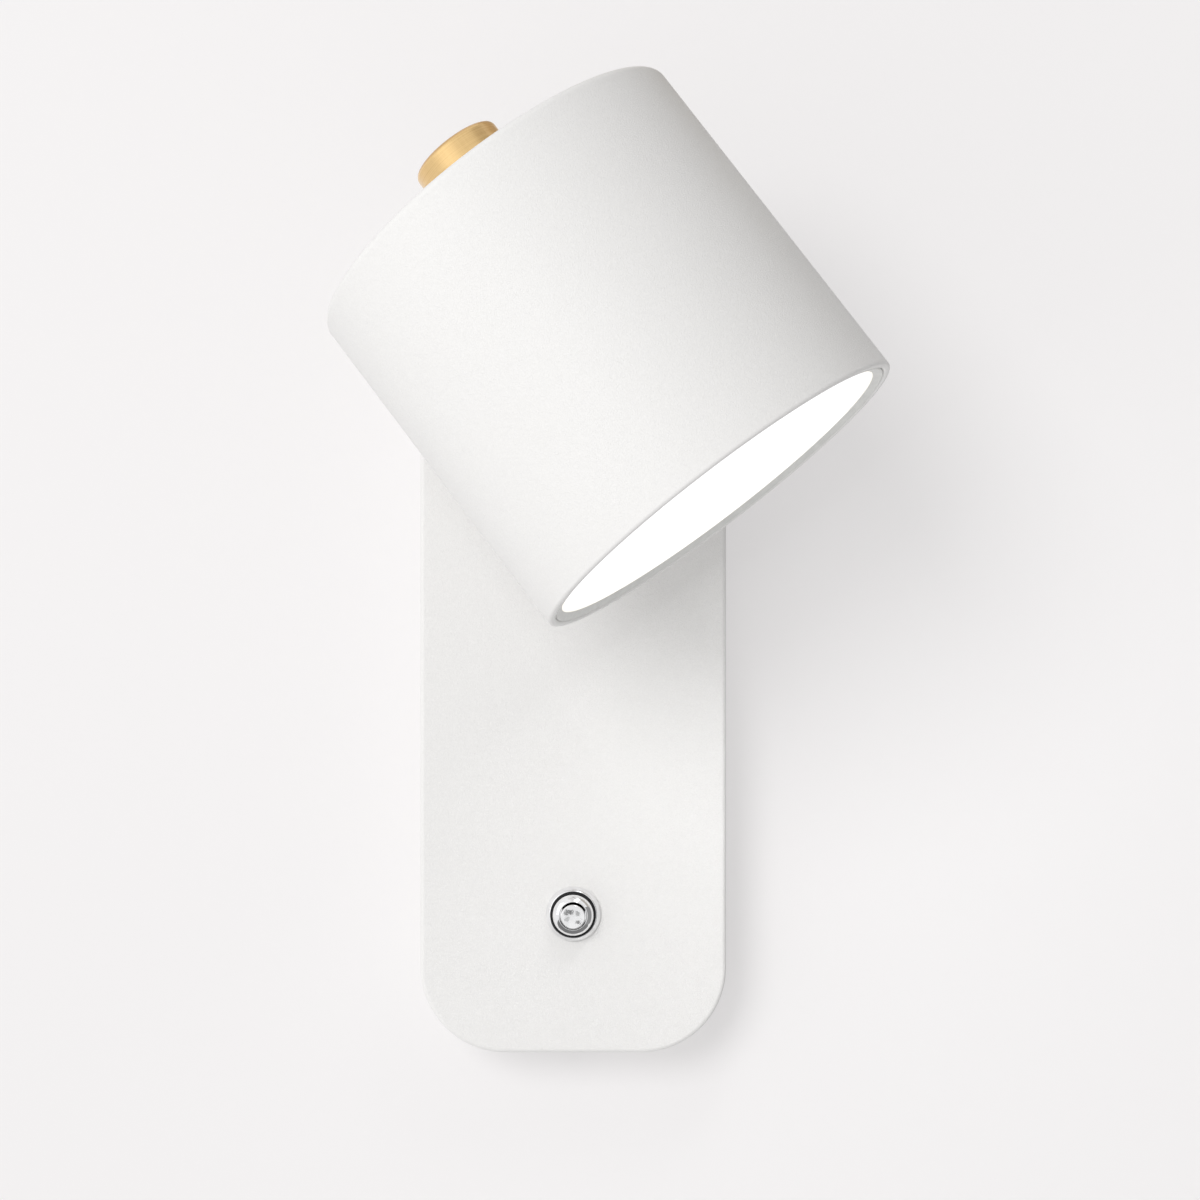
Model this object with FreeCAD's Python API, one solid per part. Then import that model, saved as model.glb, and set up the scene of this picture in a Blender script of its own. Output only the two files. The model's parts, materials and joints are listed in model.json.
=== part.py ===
import FreeCAD, Part
import math
import os

# Adjustable wall light, in millimetres. The wall is the plane y = 0 and the light stands out from it
# towards -Y. +Z is up, +X is to the right of someone who faces the wall. The origin is the centre of the
# wall bracket's slots, on the wall. A "depth" is a distance out from the wall, so y = -depth.

OUTWARD = FreeCAD.Vector(0, -1, 0)
SIDEWAYS = FreeCAD.Vector(1, 0, 0)
UP = FreeCAD.Vector(0, 0, 1)
FULL_TURN = 360

# Clearances and shared values
overrun = 5.0
coincident = 0.0001
turning_clearance = 0.08
thread_clearance = 0.05
fixing_clearance = 0.3
seat_gap = 0.1
face_gap = 0.05

# Wall plate
plate_width = 90.0
plate_height = 250.0
plate_depth = 25.0
plate_corner_radius = 25.0
plate_edge_radius = 1.3
plate_wall = 1.5
plate_inner_edge_radius = 0.5

# Wall bracket
bracket_sheet = 1.5
bracket_width = 26.0
bracket_tab_depth = 15.0
bracket_bend_radius = 2.5
bracket_tab_corner = 3.0
bracket_end_gap = 0.3
slot_width = 4.6
slot_length = 11.0
inner_slot_spacing = 60.0
outer_slot_spacing = 120.0
cable_hole_radius = 8.0

# Screws that hold the wall plate on the bracket
plate_screw_radius = 2.0
plate_screw_length = 8.0
plate_screw_head_radius = 3.8
plate_screw_head_height = 2.2
plate_screw_head_round = 1.2
plate_screw_depth = 7.0
plate_screw_socket = 2.5
plate_screw_socket_depth = 1.3

# Swivel
swivel_top_distance = 38.5
swivel_rest = 37.1
swivel_limit = 164.0
nipple_radius = 5.0
nipple_bore = 3.4
nipple_past_nut = 1.0
swivel_washer_thickness = 0.8
swivel_inner_washer_radius = 9.0
swivel_outer_washer_radius = 10.5
spring_washer_thickness = 0.8
spring_washer_radius = 8.5
swivel_nut_flats = 14.0
swivel_nut_height = 5.0
stop_washer_thickness = 1.5
stop_washer_radius = 9.0
stop_tab_reach = 13.0
stop_stud_radius = 1.5
stop_stud_reach = 11.5
stop_stud_length = 3.2

# Knuckle between the arm and the shade
knuckle_height = 18.0
hub_radius = 12.0
hub_height = 2.5
hub_edge_radius = 0.8
fork_radius = 9.0
fork_neck_round = 1.2
fork_half_width = 8.0
slot_floor_reach = 8.2
nipple_socket_length = 6.0
tongue_thickness = 6.4
tongue_radius = 7.5
tongue_foot_half_height = 7.5
tilt_washer_thickness = 0.6
tilt_washer_radius = 6.5
pivot_radius = 2.0
pivot_head_radius = 3.8
pivot_head_height = 2.2
pivot_head_round = 1.1
pivot_socket = 2.5
pivot_socket_depth = 1.2
pivot_nut_flats = 7.0
pivot_nut_height = 3.2
pivot_past_nut = 0.8
tilt_rest = 7.3

# Shade and the saddle that carries it
shade_radius = 55.2
shade_height = 98.6
shade_wall = 1.2
shade_top_round = 2.0
rim_width = 2.3
rim_height = 9.0
rim_round = 0.9
rim_step_round = 0.4
knuckle_to_shade = 16.0
knuckle_below_top = 23.9
saddle_thickness = 3.0
saddle_half_width = 13.0
saddle_half_height = 17.0
saddle_corner = 6.0
backing_thickness = 2.0
backing_half_height = 7.8
saddle_screw_radius = 2.0
saddle_screw_offset = 8.0
saddle_screw_head_radius = 3.4
saddle_screw_head_height = 2.2
saddle_screw_head_round = 1.0
saddle_screw_inset = 0.7
spot_face_rise = 0.1
lead_hole_radius = 2.5
lead_entry_offset = 11.8
grommet_wall = 0.7
grommet_flange_radius = 3.6
grommet_flange_thickness = 0.8

# Brass cap
cap_radius = 12.6
cap_height = 18.3
cap_wall = 2.0
cap_top = 3.0
cap_round = 1.6
cap_foot_round = 0.4
cap_boss_radius = 5.0
stud_radius = 3.0
stud_in_cap = 11.0
stud_in_spreader = 15.0
stud_end_play = 1.0

# Light source in the shade
diffuser_recess = 1.5
diffuser_thickness = 2.0
diffuser_play = 0.2
ring_width = 2.5
ring_wall = 0.9
ring_height = 8.0
ring_outer_recess = 0.5
ring_lip = 0.5
ring_round = 0.2
board_height = 60.0
board_radius = 34.0
board_thickness = 1.2
spreader_radius = 41.0
spreader_thickness = 4.0
spreader_boss_radius = 10.0
spreader_fillet = 3.0
spreader_fin_count = 12
spreader_fin_thickness = 2.0
spreader_fin_height = 8.0
spreader_fin_start = 18.0
spreader_fin_end = 38.0
reflector_wall = 1.0
reflector_play = 0.5
reflector_top_width = 2.5
reflector_foot_width = 2.2
reflector_flange_thickness = 0.8
led_length = 3.5
led_width = 2.8
led_height = 0.7
led_inner_count = 8
led_outer_count = 16
led_inner_ring = 13.0
led_outer_ring = 25.0
board_screw_count = 3
board_screw_ring = 19.0
board_screw_radius = 1.5
board_screw_length = 3.5
board_screw_head_radius = 2.7
board_screw_head_height = 1.6
connector_length = 9.0
connector_width = 7.0
connector_height = 6.0
connector_reach = 27.0

# Push switch
switch_foot_distance = 41.0
switch_flange_radius = 8.0
switch_flange_height = 2.4
switch_flange_top_radius = 6.9
switch_flange_edge = 1.1
switch_flange_round = 0.5
seal_outer_radius = 6.75
seal_inner_radius = 5.7
seal_height = 0.8
seal_round = 0.3
dome_radius = 6.0
dome_height = 4.4
dome_outer_round = 1.7
dome_inner_round = 0.25
button_bore = 3.95
button_radius = 3.55
button_head_length = 7.0
button_pressed_proud = 0.7
button_round = 0.5
button_travel = 2.0
stem_radius = 2.3
stem_collar_radius = 2.9
stem_collar_height = 1.5
bushing_radius = 5.0
bushing_guide_length = 4.0
bushing_dome_overlap = 3.4
switch_hole_clearance = 0.3
back_nut_flats = 14.0
back_nut_height = 2.5
body_back_depth = 7.0
body_front_depth = 15.0
body_half_width = 7.0
body_half_height = 9.5
body_edge_radius = 0.8
chamber_radius = 3.2
chamber_end_play = 1.0
tag_offset = 3.5
tag_thickness = 0.8
tag_width = 4.0
tag_length = 4.6
tag_hole_radius = 0.8
tag_corner = 0.8
spring_wire = 0.5
spring_mean_radius = 2.95
spring_turns = 6
spring_end_gap = 0.05

# Terminal block
terminal_side_gap = 1.5
terminal_centre_z = -14.0
terminal_pitch = 9.5
terminal_ways = 3
terminal_width = 28.0
terminal_length = 17.0
terminal_base_height = 8.5
terminal_tower_height = 4.0
terminal_tower_width = 5.2
terminal_tower_length = 12.0
terminal_edge_radius = 0.6
terminal_bore_height = 5.2
insert_radius = 2.4
insert_bore = 1.5
insert_recess = 1.5
terminal_screw_radius = 1.5
terminal_screw_offset = 3.2
terminal_screw_head_depth = 2.2
terminal_screw_slot_width = 0.6
terminal_screw_slot_depth = 0.8
terminal_stud_radius = 1.0
terminal_nut_flats = 4.0
terminal_nut_height = 1.6
driver_stud_radius = 1.5
driver_nut_flats = 5.5
driver_nut_height = 2.4
fixing_stud_end = 0.8

# Driver
driver_side_gap = 3.5
driver_centre_z = 0.0
driver_width = 24.0
driver_length = 62.0
driver_height = 15.5
driver_corner = 2.5
driver_flange_length = 8.0
driver_flange_thickness = 2.0
driver_lid_thickness = 1.5
driver_lid_inset = 0.8
driver_rib_count = 9
driver_rib_width = 2.0
driver_rib_length = 14.0
driver_rib_height = 0.6

# Earth screw and its ring tab
earth_height = -45.0
earth_screw_radius = 2.0
earth_head_radius = 3.6
earth_head_height = 2.4
earth_tab_radius = 4.2
earth_tab_thickness = 0.8
earth_barrel_radius = 1.2
earth_barrel_length = 5.5
earth_wall_gap = 0.2
earth_slot_width = 0.8
earth_slot_depth = 0.9

# Leads
lead_diameter = 1.8
output_lead_diameter = 1.3
head_lead_diameter = 1.3
lead_bend_share = 0.45
lead_into_insert = 2.2
lead_into_nipple = 1.0
lead_run_short = 9.0
lead_run_long = 30.0
lead_swing = 12.0
lead_drift = 4.0
driver_entry_offset = 5.0
driver_entry_inset = 6.0
output_pair_half = 0.95
output_dip = 9.6
head_pair_half = 0.85
connector_entry_inset = 3.0
connector_entry_gap = 2.0

# Places that follow from the sizes above
plate_inside = plate_depth - plate_wall
swivel_height = plate_height / 2 - swivel_top_distance
switch_height = switch_foot_distance - plate_height / 2
pivot_depth = plate_depth + knuckle_height
hub_base = plate_depth + swivel_washer_thickness
stop_washer_front = plate_inside - swivel_washer_thickness
stop_washer_back = stop_washer_front - stop_washer_thickness
stop_angle = math.radians(FULL_TURN / 2 - swivel_limit)
stop_tab_width = 2 * (stop_stud_reach * math.sin(stop_angle) - stop_stud_radius - seat_gap)
swivel_nut_front = stop_washer_back - spring_washer_thickness
swivel_nut_back = swivel_nut_front - swivel_nut_height
nipple_back = swivel_nut_back - nipple_past_nut
slot_floor = pivot_depth - slot_floor_reach
slot_half_width = tongue_thickness / 2 + tilt_washer_thickness + 2 * face_gap
bracket_half_length = plate_height / 2 - plate_wall - bracket_end_gap
shade_inner_radius = shade_radius - shade_wall
pivot_from_axis = shade_radius + knuckle_to_shade
pivot_along_shade = shade_height - knuckle_below_top
ring_outer_radius = shade_radius - rim_width - seat_gap
ring_inner_radius = ring_outer_radius - ring_width
ring_pocket_radius = ring_outer_radius - ring_wall
diffuser_radius = ring_pocket_radius - diffuser_play
reflector_top_radius = board_radius - reflector_top_width
reflector_foot_flange = ring_pocket_radius - reflector_play
reflector_foot_radius = reflector_foot_flange - reflector_foot_width
spreader_base = board_height + board_thickness
flange_top = plate_depth + switch_flange_height
dome_top = flange_top + dome_height
button_top = dome_top + button_travel + button_pressed_proud
button_seat = button_top - button_head_length
bushing_top = flange_top + bushing_dome_overlap
bushing_shoulder = body_front_depth + bushing_guide_length
chamber_depth = face_gap + stem_collar_height + button_travel + chamber_end_play
terminal_centre_x = plate_wall + terminal_side_gap + terminal_width / 2 - plate_width / 2
terminal_back = plate_inside - terminal_base_height - terminal_tower_height
driver_centre_x = plate_width / 2 - plate_wall - driver_side_gap - driver_width / 2
driver_back = plate_inside - driver_height
terminal_foot = terminal_centre_z - terminal_length / 2
driver_foot = driver_centre_z - driver_length / 2
driver_head = driver_centre_z + driver_length / 2

nodes = {}


def at(x, depth, z):
    """Point at x, so far out from the wall, at height z."""
    return FreeCAD.Vector(x, -depth, z)


def turned_up(a, b):
    """Place of a profile point for a piece turned about Z: radius a, height b."""
    return FreeCAD.Vector(a, 0, b)


def turned_out(a, b):
    """Place of a profile point for a piece turned about Y: radius a, depth b."""
    return FreeCAD.Vector(a, -b, 0)


def facing(a, b):
    """Place of an outline point in the plane of the wall: x = a, z = b."""
    return FreeCAD.Vector(a, 0, b)


def from_side(a, b):
    """Place of an outline point seen from the side: depth a, height b."""
    return FreeCAD.Vector(0, -a, b)


def outline(corners, place):
    """Closed wire through corners (a, b, rounding), each rounded by a tangent arc."""
    count = len(corners)
    joints = []
    for index, (a, b, rounding) in enumerate(corners):
        corner = FreeCAD.Vector(a, b, 0)
        before = FreeCAD.Vector(*corners[index - 1][:2], 0) - corner
        after = FreeCAD.Vector(*corners[(index + 1) % count][:2], 0) - corner
        before.normalize()
        after.normalize()
        if rounding == 0:
            joints.append((corner, None, corner))
            continue
        half = before.getAngle(after) / 2
        reach = rounding / math.tan(half)
        inward = before + after
        inward.normalize()
        middle = corner + inward * (rounding / math.sin(half) - rounding)
        joints.append((corner + before * reach, middle, corner + after * reach))
    edges = []
    for index, (start, middle, end) in enumerate(joints):
        if middle is not None:
            arc = Part.Arc(place(start.x, start.y), place(middle.x, middle.y), place(end.x, end.y))
            edges.append(arc.toShape())
        following = joints[(index + 1) % count][0]
        if end.distanceToPoint(following) > coincident:
            edges.append(Part.LineSegment(place(end.x, end.y), place(following.x, following.y)).toShape())
    return Part.Wire(edges)


def turned(corners, place, axis):
    """Solid of revolution of a rounded profile about an axis through the origin."""
    return Part.Face(outline(corners, place)).revolve(FreeCAD.Vector(), axis, FULL_TURN)


def turned_outward(corners, x, z):
    """Piece turned about a line that stands out from the wall at x, z."""
    piece = turned(corners, turned_out, OUTWARD)
    piece.translate(FreeCAD.Vector(x, 0, z))
    return piece


def rod_out(radius, near, far, x, z):
    """Round rod that stands out from the wall, from one depth to another."""
    return Part.makeCylinder(radius, far - near, at(x, near, z), OUTWARD)


def ring_out(radius, bore, near, far, x, z):
    """Flat washer square to the swivel axis."""
    return rod_out(radius, near, far, x, z).cut(rod_out(bore, near - overrun, far + overrun, x, z))


def rounded_block(width, height, corner, near, far, x, z):
    """Block with rounded corners as seen from the front, from one depth to another."""
    half_width = width / 2
    half_height = height / 2
    corners = [(x - half_width, z - half_height, corner), (x + half_width, z - half_height, corner),
               (x + half_width, z + half_height, corner), (x - half_width, z + half_height, corner)]
    block = Part.Face(outline(corners, facing)).extrude(OUTWARD * (far - near))
    block.translate(OUTWARD * near)
    return block


def hexagon(flats, near, far, x, z):
    """Hexagonal prism that stands out from the wall."""
    reach = flats / math.sqrt(3)
    corners = []
    for side in range(6):
        angle = side * math.pi / 3
        corners.append(at(x + reach * math.cos(angle), near, z + reach * math.sin(angle)))
    return Part.Face(Part.makePolygon(corners + corners[:1])).extrude(OUTWARD * (far - near))


def wall_slot(z):
    """Upright slot through the bracket for a wall screw."""
    return rounded_block(slot_width, slot_length, slot_width / 2 - coincident, -overrun, overrun, 0, z)


def button_head_screw(radius, length, head_radius, head_height, head_round, socket, socket_depth):
    """Domed socket screw along Z: the head's seat is at z = 0 and the shank points down."""
    corners = [(0, -length, 0), (radius, -length, 0), (radius, 0, 0), (head_radius, 0, 0),
               (head_radius, head_height, head_round), (0, head_height, 0)]
    screw = turned(corners, turned_up, UP)
    key = hexagon(socket, 0, socket_depth + overrun, 0, 0)
    key.rotate(FreeCAD.Vector(), SIDEWAYS, -FULL_TURN / 4)
    key.translate(UP * (head_height - socket_depth))
    return screw.cut(key)


# Pieces fixed to the wall


def wall_bracket():
    """Bent steel strip with wall slots, a cable hole and a tapped tab at each end."""
    half = bracket_half_length
    inner_bend = bracket_bend_radius - bracket_sheet
    strip = Part.Face(outline([
        (0, -half, bracket_bend_radius), (bracket_tab_depth, -half, 0),
        (bracket_tab_depth, bracket_sheet - half, 0), (bracket_sheet, bracket_sheet - half, inner_bend),
        (bracket_sheet, half - bracket_sheet, inner_bend), (bracket_tab_depth, half - bracket_sheet, 0),
        (bracket_tab_depth, half, 0), (0, half, bracket_bend_radius)], from_side))
    strip.translate(SIDEWAYS * (-bracket_width / 2))
    strip = strip.extrude(SIDEWAYS * bracket_width)
    corners = [edge for edge in strip.Edges if is_tab_corner(edge)]
    strip = strip.makeFillet(bracket_tab_corner, corners)
    for spacing in (inner_slot_spacing, outer_slot_spacing):
        for side in (-1, 1):
            strip = strip.cut(wall_slot(side * spacing / 2))
    strip = strip.cut(rod_out(cable_hole_radius, -overrun, overrun, 0, 0))
    tapping = plate_screw_radius + thread_clearance
    whole_length = plate_height + 2 * overrun
    tapped = Part.makeCylinder(tapping, whole_length, at(0, plate_screw_depth, -whole_length / 2), UP)
    earth_hole = rod_out(earth_screw_radius + thread_clearance, -overrun, overrun, 0, earth_height)
    return strip.cut(tapped).cut(earth_hole)


def is_tab_corner(edge):
    """True for the four upright corners at the free ends of the bracket's tabs."""
    box = edge.BoundBox
    at_end = abs(box.YMin + bracket_tab_depth) < coincident and abs(box.YMax + bracket_tab_depth) < coincident
    return at_end and box.ZLength > bracket_sheet / 2 and box.XLength < coincident


def wall_plate():
    """Shallow pan, open to the wall, with holes for the swivel, the switch and its two side screws."""
    shell = rounded_block(plate_width, plate_height, plate_corner_radius, 0, plate_depth, 0, 0)
    front = [edge for edge in shell.Edges if edge.BoundBox.YMax < coincident - plate_depth]
    shell = shell.makeFillet(plate_edge_radius, front)
    hollow = rounded_block(plate_width - 2 * plate_wall, plate_height - 2 * plate_wall,
                           plate_corner_radius - plate_wall, 0, plate_inside, 0, 0)
    floor_edges = [edge for edge in hollow.Edges if edge.BoundBox.YMax < coincident - plate_inside]
    shell = shell.cut(hollow.makeFillet(plate_inner_edge_radius, floor_edges))
    swivel_hole = rod_out(nipple_radius + turning_clearance, 0, plate_depth + overrun, 0, swivel_height)
    switch_hole = rod_out(bushing_radius + switch_hole_clearance, 0, plate_depth + overrun, 0, switch_height)
    whole_length = plate_height + 2 * overrun
    side_holes = Part.makeCylinder(plate_screw_radius + fixing_clearance, whole_length,
                                   at(0, plate_screw_depth, -whole_length / 2), UP)
    return shell.cut(swivel_hole).cut(switch_hole).cut(side_holes)


def plate_screws():
    """One domed screw into each end tab of the bracket."""
    screws = []
    for turn in (0, FULL_TURN / 2):
        screw = button_head_screw(plate_screw_radius, plate_screw_length, plate_screw_head_radius,
                                  plate_screw_head_height, plate_screw_head_round, plate_screw_socket,
                                  plate_screw_socket_depth)
        screw.translate(at(0, plate_screw_depth, plate_height / 2))
        screw.rotate(at(0, plate_screw_depth, 0), OUTWARD, turn)
        screws.append(screw)
    return Part.makeCompound(screws)


def stop_stud():
    """Short stud on the plate's inside that the stop washer's tab runs against."""
    return rod_out(stop_stud_radius, plate_inside - stop_stud_length, plate_inside, 0,
                   swivel_height + stop_stud_reach)


def terminal_way_places():
    """X of each way of the terminal block."""
    first = terminal_centre_x - terminal_pitch * (terminal_ways - 1) / 2
    return [first + way * terminal_pitch for way in range(terminal_ways)]


def terminal_fixing_places():
    """X of each fixing stud, between two ways."""
    ways = terminal_way_places()
    return [(left + right) / 2 for left, right in zip(ways, ways[1:])]


def terminal_block():
    """Moulded block: a base and a tower over each way, with a bore along each way."""
    base_back = plate_inside - terminal_base_height
    block = rounded_block(terminal_width, terminal_length, terminal_edge_radius, base_back, plate_inside,
                          terminal_centre_x, terminal_centre_z)
    for x in terminal_way_places():
        tower = rounded_block(terminal_tower_width, terminal_tower_length, terminal_edge_radius,
                              terminal_back, base_back, x, terminal_centre_z)
        block = block.fuse(tower)
    for x in terminal_way_places():
        block = block.cut(terminal_bore(insert_radius + thread_clearance, x))
        for side in (-1, 1):
            z = terminal_centre_z + side * terminal_screw_offset
            block = block.cut(rod_out(terminal_screw_radius + fixing_clearance, 0,
                                      plate_inside - terminal_bore_height, x, z))
    for x in terminal_fixing_places():
        block = block.cut(rod_out(terminal_stud_radius + fixing_clearance, 0, plate_depth, x,
                                  terminal_centre_z))
    return block.removeSplitter()


def terminal_bore(radius, x):
    """Cutter along one way of the terminal block."""
    length = terminal_length + 2 * overrun
    start = at(x, plate_inside - terminal_bore_height, terminal_centre_z - length / 2)
    return Part.makeCylinder(radius, length, start, UP)


def terminal_inserts():
    """Brass tube in each way, with the tapped holes of its two screws."""
    tubes = []
    length = terminal_length - 2 * insert_recess
    depth = plate_inside - terminal_bore_height
    for x in terminal_way_places():
        start = at(x, depth, terminal_centre_z - length / 2)
        tube = Part.makeCylinder(insert_radius, length, start, UP).cut(terminal_bore(insert_bore, x))
        for side in (-1, 1):
            z = terminal_centre_z + side * terminal_screw_offset
            tube = tube.cut(rod_out(terminal_screw_radius + thread_clearance, 0, depth, x, z))
        tubes.append(tube)
    return Part.makeCompound(tubes)


def terminal_screws():
    """Two slotted clamping screws in each way."""
    screws = []
    back = terminal_back + terminal_screw_head_depth
    front = plate_inside - terminal_bore_height
    for x in terminal_way_places():
        for side in (-1, 1):
            z = terminal_centre_z + side * terminal_screw_offset
            screw = rod_out(terminal_screw_radius, back, front, x, z)
            groove = rounded_block(terminal_screw_radius * 2 + overrun, terminal_screw_slot_width, 0,
                                   back - overrun, back + terminal_screw_slot_depth, x, z)
            screws.append(screw.cut(groove))
    return Part.makeCompound(screws)


def fixing_stud(radius, flats, height, seat, x, z):
    """Stud welded inside the plate, with the nut that clamps a piece at the depth of its seat."""
    stud = rod_out(radius, seat - height - fixing_stud_end, plate_inside, x, z)
    nut = hexagon(flats, seat - height, seat, x, z)
    nut.rotate(at(x, seat, z), OUTWARD, FULL_TURN / 12)
    return stud.fuse(nut)


def terminal_fixings():
    """Studs and nuts that hold the terminal block."""
    seat = plate_inside - terminal_base_height
    return Part.makeCompound([
        fixing_stud(terminal_stud_radius, terminal_nut_flats, terminal_nut_height, seat, x, terminal_centre_z)
        for x in terminal_fixing_places()])


def driver_fixing_places():
    """Height of each fixing of the driver."""
    reach = driver_length / 2 + driver_flange_length / 2
    return [driver_centre_z - reach, driver_centre_z + reach]


def led_driver():
    """Driver case with a fixing flange at each end."""
    lid_seat = driver_back + driver_lid_thickness
    case = rounded_block(driver_width, driver_length, driver_corner, lid_seat, plate_inside,
                         driver_centre_x, driver_centre_z)
    flange = rounded_block(driver_width, driver_length + 2 * driver_flange_length, driver_corner,
                           plate_inside - driver_flange_thickness, plate_inside,
                           driver_centre_x, driver_centre_z)
    case = case.fuse(flange).removeSplitter()
    for z in driver_fixing_places():
        case = case.cut(rod_out(driver_stud_radius + fixing_clearance, 0, plate_depth, driver_centre_x, z))
    return case


def driver_lid():
    """Lid of the driver case, with a row of moulded ribs."""
    lid_seat = driver_back + driver_lid_thickness
    lid = rounded_block(driver_width - 2 * driver_lid_inset, driver_length - 2 * driver_lid_inset,
                        driver_corner - driver_lid_inset, driver_back, lid_seat,
                        driver_centre_x, driver_centre_z)
    pitch = driver_length / (driver_rib_count + 1)
    for index in range(driver_rib_count):
        z = driver_centre_z + (index - (driver_rib_count - 1) / 2) * pitch
        rib = rounded_block(driver_rib_length, driver_rib_width, 0, driver_back - driver_rib_height,
                            driver_back, driver_centre_x, z)
        lid = lid.fuse(rib)
    return lid.removeSplitter()


def driver_fixings():
    """Studs and nuts that hold the driver's flanges."""
    seat = plate_inside - driver_flange_thickness
    return Part.makeCompound([
        fixing_stud(driver_stud_radius, driver_nut_flats, driver_nut_height, seat, driver_centre_x, z)
        for z in driver_fixing_places()])


def earth_screw():
    """Slotted screw that clamps the earth lead's ring tab on the bracket."""
    tab_front = bracket_sheet + earth_tab_thickness
    shank = rod_out(earth_screw_radius, earth_wall_gap, tab_front, 0, earth_height)
    head = rod_out(earth_head_radius, tab_front, tab_front + earth_head_height, 0, earth_height)
    groove = rounded_block(earth_slot_width, earth_head_radius * 2 + overrun, 0,
                           tab_front + earth_head_height - earth_slot_depth,
                           tab_front + earth_head_height + overrun, 0, earth_height)
    return shank.fuse(head).cut(groove).removeSplitter()


def earth_tab():
    """Ring tab under the earth screw, with the barrel that is crimped on the lead."""
    tab_front = bracket_sheet + earth_tab_thickness
    ring = rod_out(earth_tab_radius, bracket_sheet, tab_front, 0, earth_height)
    start = at(-earth_tab_radius - earth_barrel_length, earth_barrel_depth(), earth_height)
    barrel = Part.makeCylinder(earth_barrel_radius, earth_barrel_length, start, SIDEWAYS)
    neck_width = 2 * earth_barrel_radius
    neck = rounded_block(earth_tab_radius, neck_width, 0, bracket_sheet, tab_front,
                         -earth_tab_radius, earth_height)
    hole = rod_out(earth_screw_radius + thread_clearance, 0, plate_depth, 0, earth_height)
    return ring.fuse(neck).fuse(barrel).cut(hole).removeSplitter()


def earth_barrel_depth():
    """Depth of the crimp barrel's axis, just clear of the bracket."""
    return bracket_sheet + seat_gap + earth_barrel_radius


# Push switch


def switch_flange():
    """Bevelled chrome flange under the dome ring."""
    return turned_outward([
        (bushing_radius + thread_clearance, plate_depth, 0), (switch_flange_radius, plate_depth, 0),
        (switch_flange_radius, plate_depth + switch_flange_edge, switch_flange_round),
        (switch_flange_top_radius, flange_top, switch_flange_round),
        (bushing_radius + thread_clearance, flange_top, 0)], 0, switch_height)


def switch_seal():
    """Dark ring between the flange and the dome ring."""
    return turned_outward([
        (seal_inner_radius, flange_top, 0), (seal_outer_radius, flange_top, seal_round),
        (seal_outer_radius, flange_top + seal_height, seal_round),
        (seal_inner_radius, flange_top + seal_height, 0)], 0, switch_height)


def switch_dome_ring():
    """Domed chrome ring that screws on the bushing and frames the button."""
    thread = bushing_radius + thread_clearance
    return turned_outward([
        (thread, flange_top, 0), (seal_inner_radius - seat_gap, flange_top, 0),
        (seal_inner_radius - seat_gap, flange_top + seal_height + face_gap, 0),
        (dome_radius, flange_top + seal_height + face_gap, 0), (dome_radius, dome_top, dome_outer_round),
        (button_bore, dome_top, dome_inner_round), (button_bore, bushing_top + seat_gap, 0),
        (thread, bushing_top + seat_gap, 0)], 0, switch_height)


def switch_bushing():
    """Threaded barrel of the switch, bored for the button's head and guiding its stem."""
    guide = stem_radius + turning_clearance
    return turned_outward([
        (guide, body_front_depth, 0), (bushing_radius, body_front_depth, 0), (bushing_radius, bushing_top, 0),
        (button_bore, bushing_top, 0), (button_bore, bushing_shoulder, 0), (guide, bushing_shoulder, 0)],
        0, switch_height)


def switch_back_nut():
    """Nut that pulls the switch against the plate from inside."""
    nut = hexagon(back_nut_flats, plate_inside - back_nut_height, plate_inside, 0, switch_height)
    bore = rod_out(bushing_radius + thread_clearance, 0, plate_depth, 0, switch_height)
    return nut.cut(bore)


def switch_body():
    """Moulded body behind the bushing, with the chamber that the stem's collar moves in."""
    body = rounded_block(2 * body_half_width, 2 * body_half_height, body_edge_radius, body_back_depth,
                         body_front_depth, 0, switch_height)
    chamber = rod_out(chamber_radius, body_front_depth - chamber_depth, body_front_depth + overrun,
                      0, switch_height)
    return body.cut(chamber)


def switch_tags():
    """Two solder tags on the body's back."""
    tags = []
    for side in (-1, 1):
        corners = [(body_back_depth, switch_height - tag_width / 2, 0),
                   (body_back_depth, switch_height + tag_width / 2, 0),
                   (body_back_depth - tag_length, switch_height + tag_width / 2, tag_corner),
                   (body_back_depth - tag_length, switch_height - tag_width / 2, tag_corner)]
        tag = Part.Face(outline(corners, from_side)).extrude(SIDEWAYS * tag_thickness)
        tag.translate(SIDEWAYS * (side * tag_offset - tag_thickness / 2))
        hole = Part.makeCylinder(tag_hole_radius, 2 * (tag_offset + overrun),
                                 at(-tag_offset - overrun, body_back_depth - tag_length / 2, switch_height),
                                 SIDEWAYS)
        tags.append(tag.cut(hole))
    return Part.makeCompound(tags)


def helix_point(turn, start, pitch):
    """Point and unit direction on the spring's wire after so many turns."""
    angle = 2 * math.pi * turn
    point = at(spring_mean_radius * math.cos(angle), start + pitch * turn,
               switch_height + spring_mean_radius * math.sin(angle))
    direction = at(-2 * math.pi * spring_mean_radius * math.sin(angle), pitch,
                   2 * math.pi * spring_mean_radius * math.cos(angle))
    direction.normalize()
    return point, direction


def biarc(start, leaving, end, arriving):
    """Two tangent arcs from one point and direction to another."""
    span = end - start
    both = leaving + arriving
    square = 2 * (leaving.dot(arriving) - 1)
    linear = -2 * span.dot(both)
    root = math.sqrt(linear * linear - 4 * square * span.dot(span))
    reach = (-linear - root) / (2 * square)
    if reach < 0:
        reach = (-linear + root) / (2 * square)
    first = start + leaving * reach
    second = end - arriving * reach
    joint = (first + second) * 0.5
    return [tangent_arc(start, first, joint), tangent_arc(joint, second, end)]


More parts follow.
